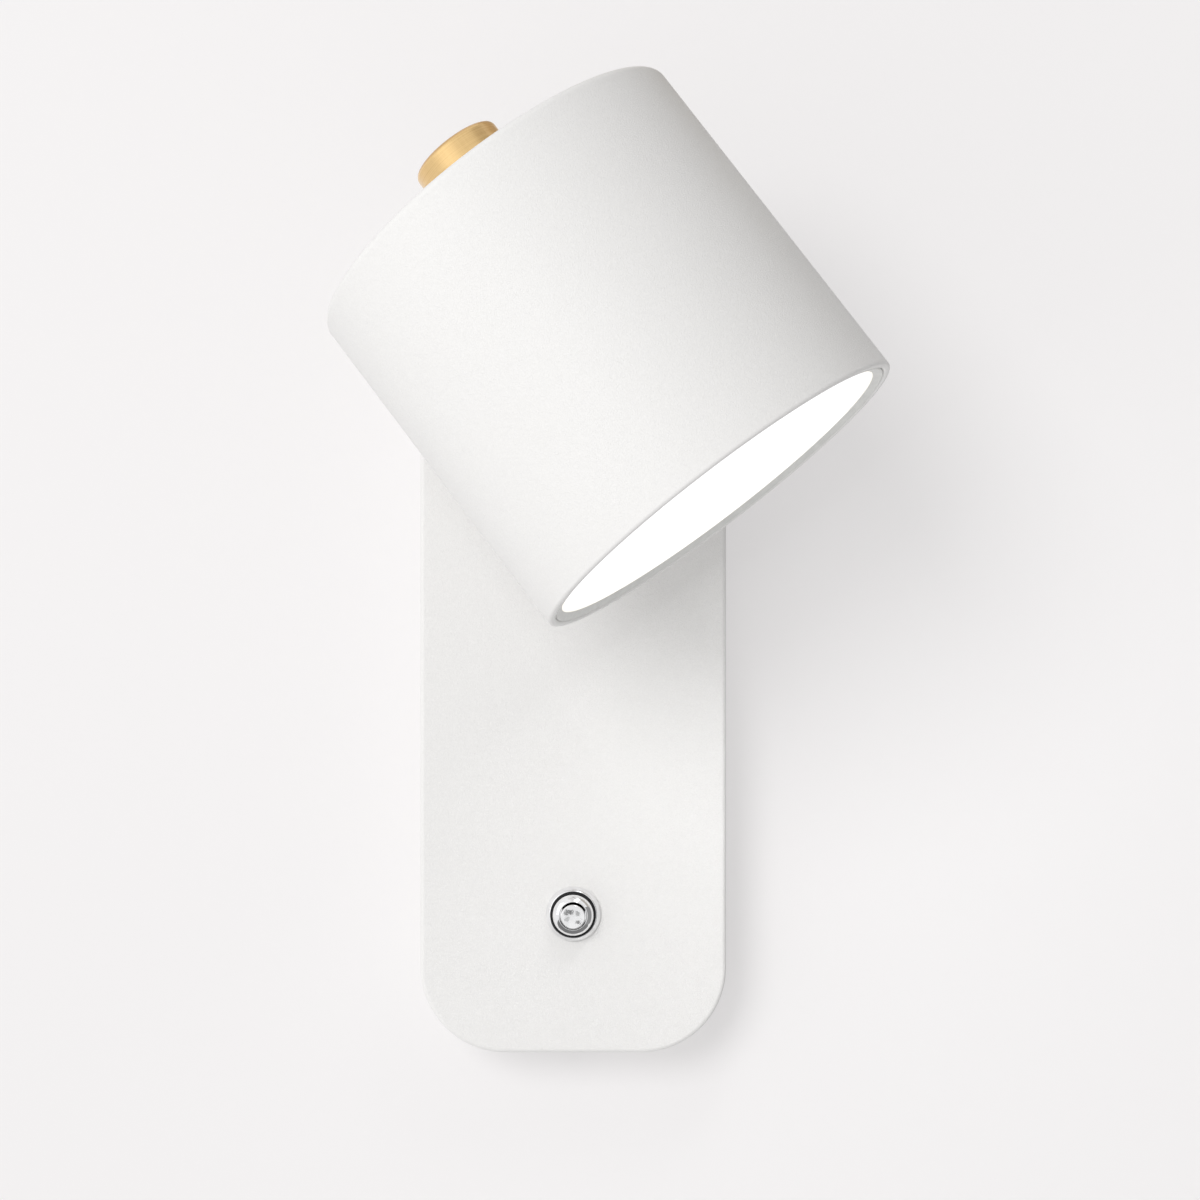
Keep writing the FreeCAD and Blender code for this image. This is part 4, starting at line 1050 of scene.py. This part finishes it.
@dataclass(frozen=True)
class HeadStance:
    """Where the shade's drawing frame stands at rest: z = 0 is its mouth, the knuckle is on its +Y side."""

    swivel_height: float = SWIVEL_HEIGHT
    pivot_depth: float = 43.0 * MM
    pivot_from_axis: float = 71.2 * MM
    pivot_along_shade: float = KNUCKLE_ALONG_SHADE
    swivel_degrees: float = 37.1
    tilt_degrees: float = 7.3

    def place(self) -> Matrix:
        """From the shade's drawing frame to the row frame.

        Returns:
            The transform.
        """
        swivel_axis = Matrix.Translation((0, 0, self.swivel_height))
        swivel = Matrix.Rotation(math.radians(self.swivel_degrees), 4, OUTWARD)
        pivot = Matrix.Translation((0, -self.pivot_depth, 0))
        tilt = Matrix.Rotation(math.radians(-self.tilt_degrees), 4, "X")
        knuckle = Matrix.Translation((0, -self.pivot_from_axis, -self.pivot_along_shade))
        return swivel_axis @ swivel @ pivot @ tilt @ knuckle


@dataclass(frozen=True)
class CopiedPieces:
    """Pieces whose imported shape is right, taken over with rounded edges."""

    edge_rounds: dict[str, float]

    def pieces(self) -> Making:
        """Make each piece in turn."""
        for node, edge_round in self.edge_rounds.items():
            yield finished_copy(node, edge_round), node


@dataclass(frozen=True)
class ReturnSpring:
    """The coil spring under the push button, which shortens as the button goes in."""

    node: str = "switch_spring"
    joint: str = "button_press"
    shoulder: float = BUSHING_SHOULDER
    seat: float = 27.5 * MM
    travel: float = 2 * MM
    height: float = SWITCH_HEIGHT

    def pieces(self) -> Making:
        """Make the spring, and give it a mesh of its own once it rides on its body.

        Returns:
            Each piece with its node.
        """
        spring = finished_copy(self.node, 0)
        yield spring, self.node
        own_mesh(spring)


@dataclass(frozen=True)
class WallPlate:
    """The shallow pan on the wall."""

    width: float = 90 * MM
    height: float = 250 * MM
    depth: float = PLATE_DEPTH
    corner: float = 25 * MM
    corner_steps: int = 36
    edge: float = 1.3 * MM
    edge_steps: int = 7
    wall: float = 1.5 * MM
    inner_edge: float = 0.5 * MM
    swivel_height: float = SWIVEL_HEIGHT
    swivel_hole: float = 5.08 * MM
    switch_height: float = SWITCH_HEIGHT
    switch_hole: float = 5.3 * MM
    screw_hole: float = 2.3 * MM
    screw_depth: float = 7 * MM

    def pieces(self) -> Making:
        """Make the pan."""
        yield self.pan(), "wall_plate"

    def pan(self) -> bpy.types.Object:
        """Draw a rounded plane out, round its front edge, hollow it from behind and drill it.

        Returns:
            The pan.
        """
        work = Workpiece.upright_plane("wall_pan", self.width, self.height)
        work.round_points(self.corner, self.corner_steps)
        work.extrude(OUTWARD * (self.depth - 2 * self.edge))
        work.extrude(OUTWARD * 2 * self.edge)
        work.pick_edges_at(self.depth)
        work.round_edges(self.edge, self.edge_steps)
        self.pick_flat(work, self.depth)
        work.inset(self.edge)
        self.pick_flat(work, 0)
        work.inset(self.wall)
        work.extrude(OUTWARD * (self.depth - self.wall))
        work.pick_edges_at(self.depth - self.wall)
        work.round_edges(self.inner_edge, self.edge_steps // 2)
        self.pick_flat(work, self.depth - self.wall)
        work.inset(self.edge)
        work.close_up()
        pan = work.leave()
        holes = ((self.swivel_hole, self.swivel_height), (self.switch_hole, self.switch_height))
        for radius, height in holes:
            drill(pan, radius, Vector((0, -self.depth * 2, height)), Vector((0, -self.depth / 2, height)))
        for side in (-1, 1):
            middle = Vector((0, -self.screw_depth, side * self.height / 2))
            reach = Vector((0, 0, 4 * self.wall))
            drill(pan, self.screw_hole, middle - reach, middle + reach)
        return smooth(pan)

    @staticmethod
    def pick_flat(work: Workpiece, depth: float) -> None:
        """Pick the large flat face at a depth out from the wall."""
        work.pick_faces(lambda face: len(face.verts) > 4 and abs(face.calc_center_median().y + depth) < NEAR)


@dataclass(frozen=True)
class PushSwitch:
    """The push switch: flange, seal, dome ring, button and barrel."""

    height: float = SWITCH_HEIGHT
    plate_face: float = PLATE_DEPTH
    flange_radius: float = 8 * MM
    flange_top_radius: float = 6.9 * MM
    flange_edge: float = 1.1 * MM
    flange_height: float = 2.4 * MM
    flange_rounds: tuple[float, float, float] = (0.15 * MM, 0.5 * MM, 0.45 * MM)
    thread_radius: float = 5.05 * MM
    seal_radii: Pair = (5.7 * MM, 6.75 * MM)
    seal_height: float = 0.8 * MM
    seal_round: float = 0.1 * MM
    dome_radius: float = 6.0 * MM
    dome_foot_round: float = 0.12 * MM
    dome_round: float = 2.0 * MM
    dome_slope: float = 1.15 * MM
    dome_lip_round: float = 0.25 * MM
    dome_height: float = 4.4 * MM
    bore: float = 3.95 * MM
    button_radius: float = 3.55 * MM
    button_proud: float = 2.7 * MM
    button_length: float = 7 * MM
    button_round: float = 0.2 * MM
    button_crown: float = 0.06 * MM
    crown_round: float = 0.25 * MM
    crown_steps: int = 12
    stem_radius: float = 2.3 * MM
    collar_radius: float = 2.9 * MM
    collar_foot: float = 13.45 * MM
    collar_top: float = 14.95 * MM
    bushing_radius: float = 5 * MM
    bushing_back: float = 15 * MM
    bushing_shoulder: float = BUSHING_SHOULDER
    bushing_top: float = 30.8 * MM
    thread_pitch: float = 0.75 * MM
    thread_depth: float = 0.4 * MM
    gap: float = 0.1 * MM
    lathe: Lathe = Lathe(128, 8)

    def pieces(self) -> Making:
        """Make the turned pieces, each about the switch's axis.

        Returns:
            Each piece with its node.
        """
        flange_top = self.plate_face + self.flange_height
        makings = {"switch_flange": self.flange(flange_top), "switch_seal": self.seal(flange_top),
                   "switch_dome_ring": self.dome_ring(flange_top), "switch_button": self.button(flange_top),
                   "switch_bushing": self.bushing()}
        for node, corners in makings.items():
            piece = self.lathe.turn(f"{node}_turned", corners)
            yield stand(piece, outward_at(self.height)), node

    def flange(self, top: float) -> list[Corner]:
        """Profile of the bevelled flange.

        Args:
            top: Height of its front face.

        Returns:
            The corners.
        """
        foot_round, edge_round, top_round = self.flange_rounds
        edge = self.plate_face + self.flange_edge
        return [(self.thread_radius, self.plate_face, 0), (self.flange_radius, self.plate_face, foot_round),
                (self.flange_radius, edge, edge_round), (self.flange_top_radius, top, top_round),
                (self.thread_radius, top, 0)]

    def seal(self, foot: float) -> list[Corner]:
        """Profile of the dark ring, with a rounded outer edge.

        Args:
            foot: Height of the flange's front face.

        Returns:
            The corners.
        """
        inner, outer = self.seal_radii
        top = foot + self.seal_height
        return [(inner, foot, 0), (outer, foot, self.seal_round), (outer, top, self.seal_round),
                (inner, top, 0)]

    def dome_ring(self, foot: float) -> list[Corner]:
        """Profile of the domed ring that frames the button.

        Args:
            foot: Height of the flange's front face.

        Returns:
            The corners.
        """
        inner = self.seal_radii[0] - self.gap
        lip = foot + self.seal_height + self.gap / 2
        top = foot + self.dome_height
        roof = self.bushing_top + self.gap
        return [(self.thread_radius, foot, 0), (inner, foot, 0), (inner, lip, 0),
                (self.dome_radius, lip, self.dome_foot_round),
                (self.dome_radius, top - self.dome_slope, self.dome_round),
                (self.bore, top, self.dome_lip_round), (self.bore, roof, 0), (self.thread_radius, roof, 0)]

    def button(self, foot: float) -> list[Corner]:
        """Profile of the button: collar, stem and the crowned head.

        Args:
            foot: Height of the flange's front face.

        Returns:
            The corners.
        """
        top = foot + self.dome_height + self.button_proud
        seat = top - self.button_length
        shares = [1 - step / self.crown_steps for step in range(1, self.crown_steps + 1)]
        crown = [(share * self.button_radius, top - self.button_crown * share ** 2, 0) for share in shares]
        return [(0, self.collar_foot, 0), (self.collar_radius, self.collar_foot, self.button_round),
                (self.collar_radius, self.collar_top, self.button_round),
                (self.stem_radius, self.collar_top, 0), (self.stem_radius, seat, 0),
                (self.button_radius, seat, self.button_round),
                (self.button_radius, top - self.button_crown, self.crown_round), *crown]

    def bushing(self) -> list[Corner]:
        """Profile of the threaded barrel, bored for the button's head and stem.

        Returns:
            The corners.
        """
        guide = self.stem_radius + self.gap
        ridges = thread(self.bushing_radius, self.bushing_back, self.bushing_top, self.thread_pitch,
                        self.thread_depth)
        return [(guide, self.bushing_back, 0), *ridges, (self.bore, self.bushing_top, 0),
                (self.bore, self.bushing_shoulder, 0), (guide, self.bushing_shoulder, 0)]


@dataclass(frozen=True)
class Swivel:
    """The hollow threaded nipple and the outer washer that the arm turns on."""

    height: float = SWIVEL_HEIGHT
    radius: float = 5 * MM
    bore: float = 3.4 * MM
    bore_round: float = 0.2 * MM
    back: float = 14.4 * MM
    front: float = 31.75 * MM
    pitch: float = 1 * MM
    thread_depth: float = 0.5 * MM
    washer_radii: Pair = (5.3 * MM, 10.5 * MM)
    washer_thickness: float = 0.8 * MM
    washer_rounds: Pair = (0.1 * MM, 0.25 * MM)
    plate_face: float = PLATE_DEPTH
    lathe: Lathe = Lathe(112, 4)

    def pieces(self) -> Making:
        """Make the nipple and the washer.

        Returns:
            Each piece with its node.
        """
        place = outward_at(self.height)
        nipple = [(self.bore, self.back, self.bore_round),
                  *thread(self.radius, self.back, self.front, self.pitch, self.thread_depth),
                  (self.bore, self.front, self.bore_round)]
        yield stand(self.lathe.turn("swivel_nipple_turned", nipple), place), "swivel_nipple"
        inner, outer = self.washer_radii
        back_round, front_round = self.washer_rounds
        front = self.plate_face + self.washer_thickness
        ring = [(inner, self.plate_face, 0), (outer, self.plate_face, back_round),
                (outer, front, front_round), (inner, front, 0)]
        yield stand(self.lathe.turn("swivel_outer_washer_turned", ring), place), "swivel_outer_washer"


@dataclass(frozen=True)
class DrumShade:
    """The spun drum with its brass cap, its stud, its diffuser and the ring that holds it."""

    place: Matrix
    radius: float = 55.2 * MM
    height: float = 98.6 * MM
    wall: float = 1.2 * MM
    top_round: float = 2 * MM
    rim_width: float = 2.3 * MM
    rim_height: float = 9 * MM
    rim_round: float = 0.9 * MM
    rim_step_round: float = 0.4 * MM
    screw_hole: float = 2.3 * MM
    screw_offset: float = 8 * MM
    screw_height: float = KNUCKLE_ALONG_SHADE
    lead_hole: float = 2.5 * MM
    lead_height: float = 62.9 * MM
    hole_facets: int = 48
    stud_radius: float = 3 * MM
    stud_hole: float = 3.3 * MM
    stud_foot: float = 82.4 * MM
    stud_top: float = 109.6 * MM
    stud_pitch: float = 1 * MM
    stud_thread: float = 0.45 * MM
    cap_radius: float = CAP_RADIUS
    cap_height: float = 18.3 * MM
    cap_wall: float = 2 * MM
    cap_top: float = 3 * MM
    cap_round: float = 1.6 * MM
    cap_inner_round: float = 0.6 * MM
    cap_lip_round: float = 0.4 * MM
    cap_boss: float = 5 * MM
    cap_bore: float = 3.05 * MM
    cap_bore_end: float = 110.6 * MM
    ring_inner: float = MOUTH_RADIUS
    ring_outer: float = 52.8 * MM
    ring_lip: float = 1.4 * MM
    ring_face: Corner = (52.5 * MM, 0.2 * MM, 0.3 * MM)
    ring_edge: float = 0.5 * MM
    ring_round: float = 0.2 * MM
    ring_height: float = 8 * MM
    pocket: float = 51.9 * MM
    recess: float = 1.5 * MM
    diffuser_radius: float = 51.7 * MM
    diffuser_thickness: float = 2 * MM
    diffuser_round: float = 0.25 * MM
    reflector_top: float = 60 * MM
    reflector_mouth: float = 49.2 * MM
    reflector_throat: float = 31.5 * MM
    reflector_flanges: Pair = (51.4 * MM, 34 * MM)
    reflector_wall: float = 1 * MM
    flange_thickness: float = 0.8 * MM
    lathe: Lathe = Lathe(256, 8)
    small_lathe: Lathe = Lathe(160, 8)

    def pieces(self) -> Making:
        """Make the pieces about the shade's axis and bring them to their place.

        Returns:
            Each piece with its node.
        """
        drum = self.lathe.turn("shade_turned", self.drum())
        holes = ((self.screw_hole, -self.screw_offset, self.screw_height),
                 (self.screw_hole, self.screw_offset, self.screw_height),
                 (self.lead_hole, 0, self.lead_height))
        for radius, x, height in holes:
            inside = Vector((x, self.radius / 2, height))
            outside = Vector((x, self.radius * 3 / 2, height))
            drill(drum, radius, inside, outside, self.hole_facets)
        yield stand(smooth(drum), self.place), "shade"
        makings = {"brass_cap": (self.small_lathe, self.cap()), "cap_stud": (self.small_lathe, self.stud()),
                   "diffuser": (self.lathe, self.disc()), "diffuser_ring": (self.lathe, self.ring()),
                   "reflector": (self.lathe, self.cone())}
        for node, (lathe, corners) in makings.items():
            yield stand(lathe.turn(f"{node}_turned", corners), self.place), node

    def drum(self) -> list[Corner]:
        """Profile of the drum: rolled rim, side, rounded shoulder and closed top.

        Returns:
            The corners.
        """
        inner = self.radius - self.wall
        rim = self.radius - self.rim_width
        roof = self.height - self.wall
        return [(rim, 0, self.rim_round), (self.radius, 0, self.rim_round),
                (self.radius, self.height, self.top_round), (self.stud_hole, self.height, 0),
                (self.stud_hole, roof, 0), (inner, roof, self.top_round - self.wall),
                (inner, self.rim_height, self.rim_step_round), (rim, self.rim_height, self.rim_step_round)]

    def cap(self) -> list[Corner]:
        """Profile of the cap: a cup with a tapped boss inside.

        Returns:
            The corners.
        """
        top = self.height + self.cap_height
        roof = top - self.cap_top
        inner = self.cap_radius - self.cap_wall
        return [(0, self.cap_bore_end, 0), (self.cap_bore, self.cap_bore_end, 0),
                (self.cap_bore, self.height, 0), (self.cap_boss, self.height, 0), (self.cap_boss, roof, 0),
                (inner, roof, self.cap_inner_round), (inner, self.height, 0),
                (self.cap_radius, self.height, self.cap_lip_round), (self.cap_radius, top, self.cap_round),
                (0, top, 0)]

    def stud(self) -> list[Corner]:
        """Profile of the threaded rod."""
        ridges = thread(self.stud_radius, self.stud_foot, self.stud_top, self.stud_pitch, self.stud_thread)
        return [(0, self.stud_foot, 0), *ridges, (0, self.stud_top, 0)]

    def disc(self) -> list[Corner]:
        """Profile of the opal disc.

        Returns:
            The corners.
        """
        top = self.recess + self.diffuser_thickness
        return [(0, self.recess, 0), (self.diffuser_radius, self.recess, self.diffuser_round),
                (self.diffuser_radius, top, self.diffuser_round), (0, top, 0)]

    def ring(self) -> list[Corner]:
        """Profile of the bevelled ring round the disc.

        Returns:
            The corners.
        """
        return [(self.ring_inner, self.ring_lip, 0), self.ring_face,
                (self.ring_outer, self.ring_edge, self.ring_round),
                (self.ring_outer, self.ring_height, self.ring_round),
                (self.pocket, self.ring_height, self.ring_round),
                (self.pocket, self.recess, 0), (self.ring_inner, self.recess, 0)]

    def cone(self) -> list[Corner]:
        """Profile of the reflector between the board and the disc.

        Returns:
            The corners.
        """
        mouth, throat = self.reflector_mouth, self.reflector_throat
        foot_flange, top_flange = self.reflector_flanges
        foot = self.recess + self.diffuser_thickness
        foot_face = foot + self.flange_thickness
        top_face = self.reflector_top - self.flange_thickness
        return [(mouth, foot, 0), (foot_flange, foot, 0), (foot_flange, foot_face, 0),
                (mouth + self.reflector_wall, foot_face, 0), (throat + self.reflector_wall, top_face, 0),
                (top_flange, top_face, 0), (top_flange, self.reflector_top, 0),
                (throat, self.reflector_top, 0)]


PLAIN_FIXINGS = CopiedPieces({
    "wall_bracket": 0.25 * MM, "plate_screws": 0.12 * MM, "stop_stud": 0.15 * MM, "swivel_nut": 0.2 * MM,
    "stop_washer": 0.12 * MM, "swivel_inner_washer": 0.12 * MM, "swivel_spring_washer": 0.12 * MM,
    "switch_back_nut": 0.15 * MM, "terminal_fixings": 0.1 * MM, "driver_fixings": 0.12 * MM,
    "earth_screw": 0.12 * MM, "earth_tab": 0.1 * MM})
KNUCKLE = CopiedPieces({
    "knuckle_fork": 0.35 * MM, "shade_bracket": 0.35 * MM, "pivot_bolt": 0.12 * MM, "pivot_nut": 0.2 * MM,
    "tilt_washers": 0.08 * MM, "backing_plate": 0.2 * MM, "bracket_screws": 0.12 * MM,
    "lead_grommet": 0.1 * MM})
LIGHT_SOURCE = CopiedPieces({
    "heat_spreader": 0.2 * MM, "led_board": 0.08 * MM, "leds": 0.06 * MM, "board_screws": 0.12 * MM,
    "board_connector": 0.12 * MM, "head_leads": 0})
WIRING = CopiedPieces({
    "terminal_block": 0.15 * MM, "terminal_inserts": 0.1 * MM, "terminal_screws": 0.08 * MM,
    "led_driver": 0.3 * MM, "driver_lid": 0.2 * MM, "switch_body": 0.2 * MM, "switch_tags": 0.08 * MM,
    "live_lead": 0, "switched_lead": 0, "neutral_lead": 0, "earth_lead": 0, "output_leads": 0})


# Studio


@dataclass(frozen=True)
class Viewpoint:
    """The camera where the photograph was taken from."""

    place: tuple[float, float, float] = (7.88 * MM, -842.4 * MM, 8.2 * MM)
    sensor_width: float = 36.0
    focal_pixels: float = 2779.0
    frame_pixels: float = 1200.0
    nearest: float = 10 * MM

    def build(self) -> None:
        """Make the camera and look through it."""
        lens = bpy.data.cameras.new("viewpoint")
        lens.sensor_width = self.sensor_width
        lens.lens = self.focal_pixels / self.frame_pixels * self.sensor_width
        lens.clip_start = self.nearest
        camera = bpy.data.objects.new("viewpoint", lens)
        camera.location = self.place
        camera.rotation_euler = (QUARTER_TURN, 0, 0)
        bpy.context.scene.collection.objects.link(camera)
        bpy.context.scene.camera = camera


@dataclass(frozen=True)
class Card:
    """A plain card that stands round the light and shows only in reflections."""

    name: str
    place: tuple[float, float, float]
    size: Pair
    tone: float
    aim: tuple[float, float, float] = (0, 0, 0)
    colour: Colour = WHITE

    def build(self) -> None:
        """Stand the card up, facing the point that it is aimed at."""
        clear_selection()
        facing = (Vector(self.aim) - Vector(self.place)).to_track_quat("Z", "Y").to_euler()
        bpy.ops.mesh.primitive_plane_add(size=1, location=self.place, rotation=facing)
        card = bpy.context.object
        card.name = self.name
        card.scale = (*self.size, 1)
        card.visible_camera = False
        card.visible_diffuse = False
        card.visible_transmission = False
        card.visible_shadow = False
        graph = Graph(self.name)
        graph.surface(base_color=BLACK, roughness=1.0, specular_ior_level=0.0, emission_color=self.colour,
                      emission_strength=self.tone)
        card.data.materials.append(graph.material)


@dataclass(frozen=True)
class Studio:
    """A pale wall in a white room that is brighter at the left, with one soft lamp left of the camera."""

    wall_size: float = 9.0
    wall_gap: float = 0.2 * MM
    wall_tone: Colour = (0.905, 0.889, 0.889)
    wall_glow: float = 0.42
    wall_roughness: float = 0.9
    room_level: float = 0.67
    room_lean: Pair = (-0.26, -0.12)
    lamp_place: tuple[float, float, float] = (-0.82, -2.12, 0.66)
    lamp_size: float = 1.0
    lamp_power: float = 20.0
    cards: tuple[Card, ...] = (
        Card("softbox", (-1.2, -1.5, 0.5), (1.6, 1.5), 1.32),
        Card("right_flag", (0.85, -0.4, -0.15), (1.0, 1.0), 0.3),
        Card("corner_flag", (0.8, -0.12, 0.62), (1.1, 1.1), 0.5, colour=CREAM),
        Card("floor_flag", (0.0, -0.55, -0.8), (2.3, 1.2), 0.2),
        Card("wall_flag", (0.14, -0.003, 0.3), (0.32, 0.24), 0.5, (0.14, -1.0, 0.3), WARM),
        Card("camera_body", (-0.03, -0.9, -0.157), (0.044, 0.026), 0.24),
        Card("camera_grip", (0.017, -0.9, -0.163), (0.022, 0.024), 0.42),
        Card("tripod_head", (0.022, -0.9, -0.212), (0.024, 0.018), 0.03),
        Card("tripod_arm", (-0.04, -0.9, -0.193), (0.018, 0.024), 0.5))

    def build(self) -> None:
        """Set the wall, the lamp, what metal reflects and the room light."""
        self.wall()
        self.lamp()
        for card in self.cards:
            card.build()
        self.room()

    def wall(self) -> None:
        """Lay the wall just behind the light; from behind it is open, so that the back can be seen."""
        clear_selection()
        bpy.ops.mesh.primitive_plane_add(size=self.wall_size, location=(0, self.wall_gap, 0),
                                         rotation=(QUARTER_TURN, 0, 0))
        wall = bpy.context.object
        wall.name = "studio_wall"
        graph = Graph("studio_wall")
        graph.surface(base_color=darker(self.wall_tone, 1 - self.wall_glow), roughness=self.wall_roughness,
                      specular_ior_level=0.0, emission_color=self.wall_tone, emission_strength=self.wall_glow)
        behind = graph.add("ShaderNodeNewGeometry").outputs["Backfacing"]
        mix = graph.add("ShaderNodeMixShader", {"Fac": graph.math("SUBTRACT", graph.looking(), behind)})
        graph.tree.links.new(graph.add("ShaderNodeBsdfTransparent").outputs["BSDF"], mix.inputs[1])
        graph.tree.links.new(graph.shader.outputs["BSDF"], mix.inputs[2])
        output = next(node for node in graph.tree.nodes if node.type == "OUTPUT_MATERIAL")
        graph.tree.links.new(mix.outputs["Shader"], output.inputs["Surface"])
        wall.data.materials.append(graph.material)

    def lamp(self) -> None:
        """Hang the large soft lamp and point it at the light."""
        data = bpy.data.lights.new("soft_lamp", "AREA")
        data.shape = "DISK"
        data.size = self.lamp_size
        data.energy = self.lamp_power
        lamp = bpy.data.objects.new("soft_lamp", data)
        lamp.location = self.lamp_place
        lamp.rotation_euler = (-Vector(self.lamp_place)).to_track_quat("-Z", "Y").to_euler()
        lamp.visible_glossy = False
        bpy.context.scene.collection.objects.link(lamp)

    def room(self) -> None:
        """Light the room evenly, a little more from the left, and show it as pale as the wall."""
        world = bpy.data.worlds.new("room")
        world.use_nodes = True
        room = Graph.of_world(world)
        direction = room.add("ShaderNodeTexCoord").outputs["Generated"]
        axes = room.add("ShaderNodeSeparateXYZ", {"Vector": direction}).outputs
        lean_right, lean_up = self.room_lean
        sideways = room.math("MULTIPLY_ADD", axes["X"], lean_right, self.room_level)
        lit = room.math("MULTIPLY_ADD", axes["Z"], lean_up, sideways)
        background = next(node for node in world.node_tree.nodes if node.type == "BACKGROUND")
        strength = room.blend(room.looking(), lit, self.wall_tone[0])
        room.feed(background, {"Color": (*WHITE, 1), "Strength": strength})
        bpy.context.scene.world = world
        bpy.context.scene.view_settings.view_transform = "Standard"


def hand_over(piece: bpy.types.Object, node: str, palette: Palette) -> None:
    """Dress a finished piece, let it ride on its node's body and stand for the node.

    Args:
        piece: The finished piece.
        node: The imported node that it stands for.
        palette: The finishes.
    """
    slot = SLOT_OF_NODE[node]
    body = frame["nodes"][node]["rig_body"]
    piece.data.materials.clear()
    piece.data.materials.append(palette.material(slot))
    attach(piece, body)
    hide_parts(node)
    LOG.info("%s: %d faces, %s, rides on %s", piece.name, len(piece.data.polygons), slot.value, body)


def main() -> None:
    """Build the studio and every piece of the light."""
    logging.basicConfig(level=logging.INFO, format="%(message)s")
    Viewpoint().build()
    Studio().build()
    head = HeadStance().place()
    palette = Palette(head)
    assemblies = (WallPlate(), PushSwitch(), ReturnSpring(), Swivel(), DrumShade(head), PLAIN_FIXINGS,
                  KNUCKLE, LIGHT_SOURCE, WIRING)
    for assembly in assemblies:
        for piece, node in assembly.pieces():
            hand_over(piece, node, palette)


if __name__ == "__main__":
    main()
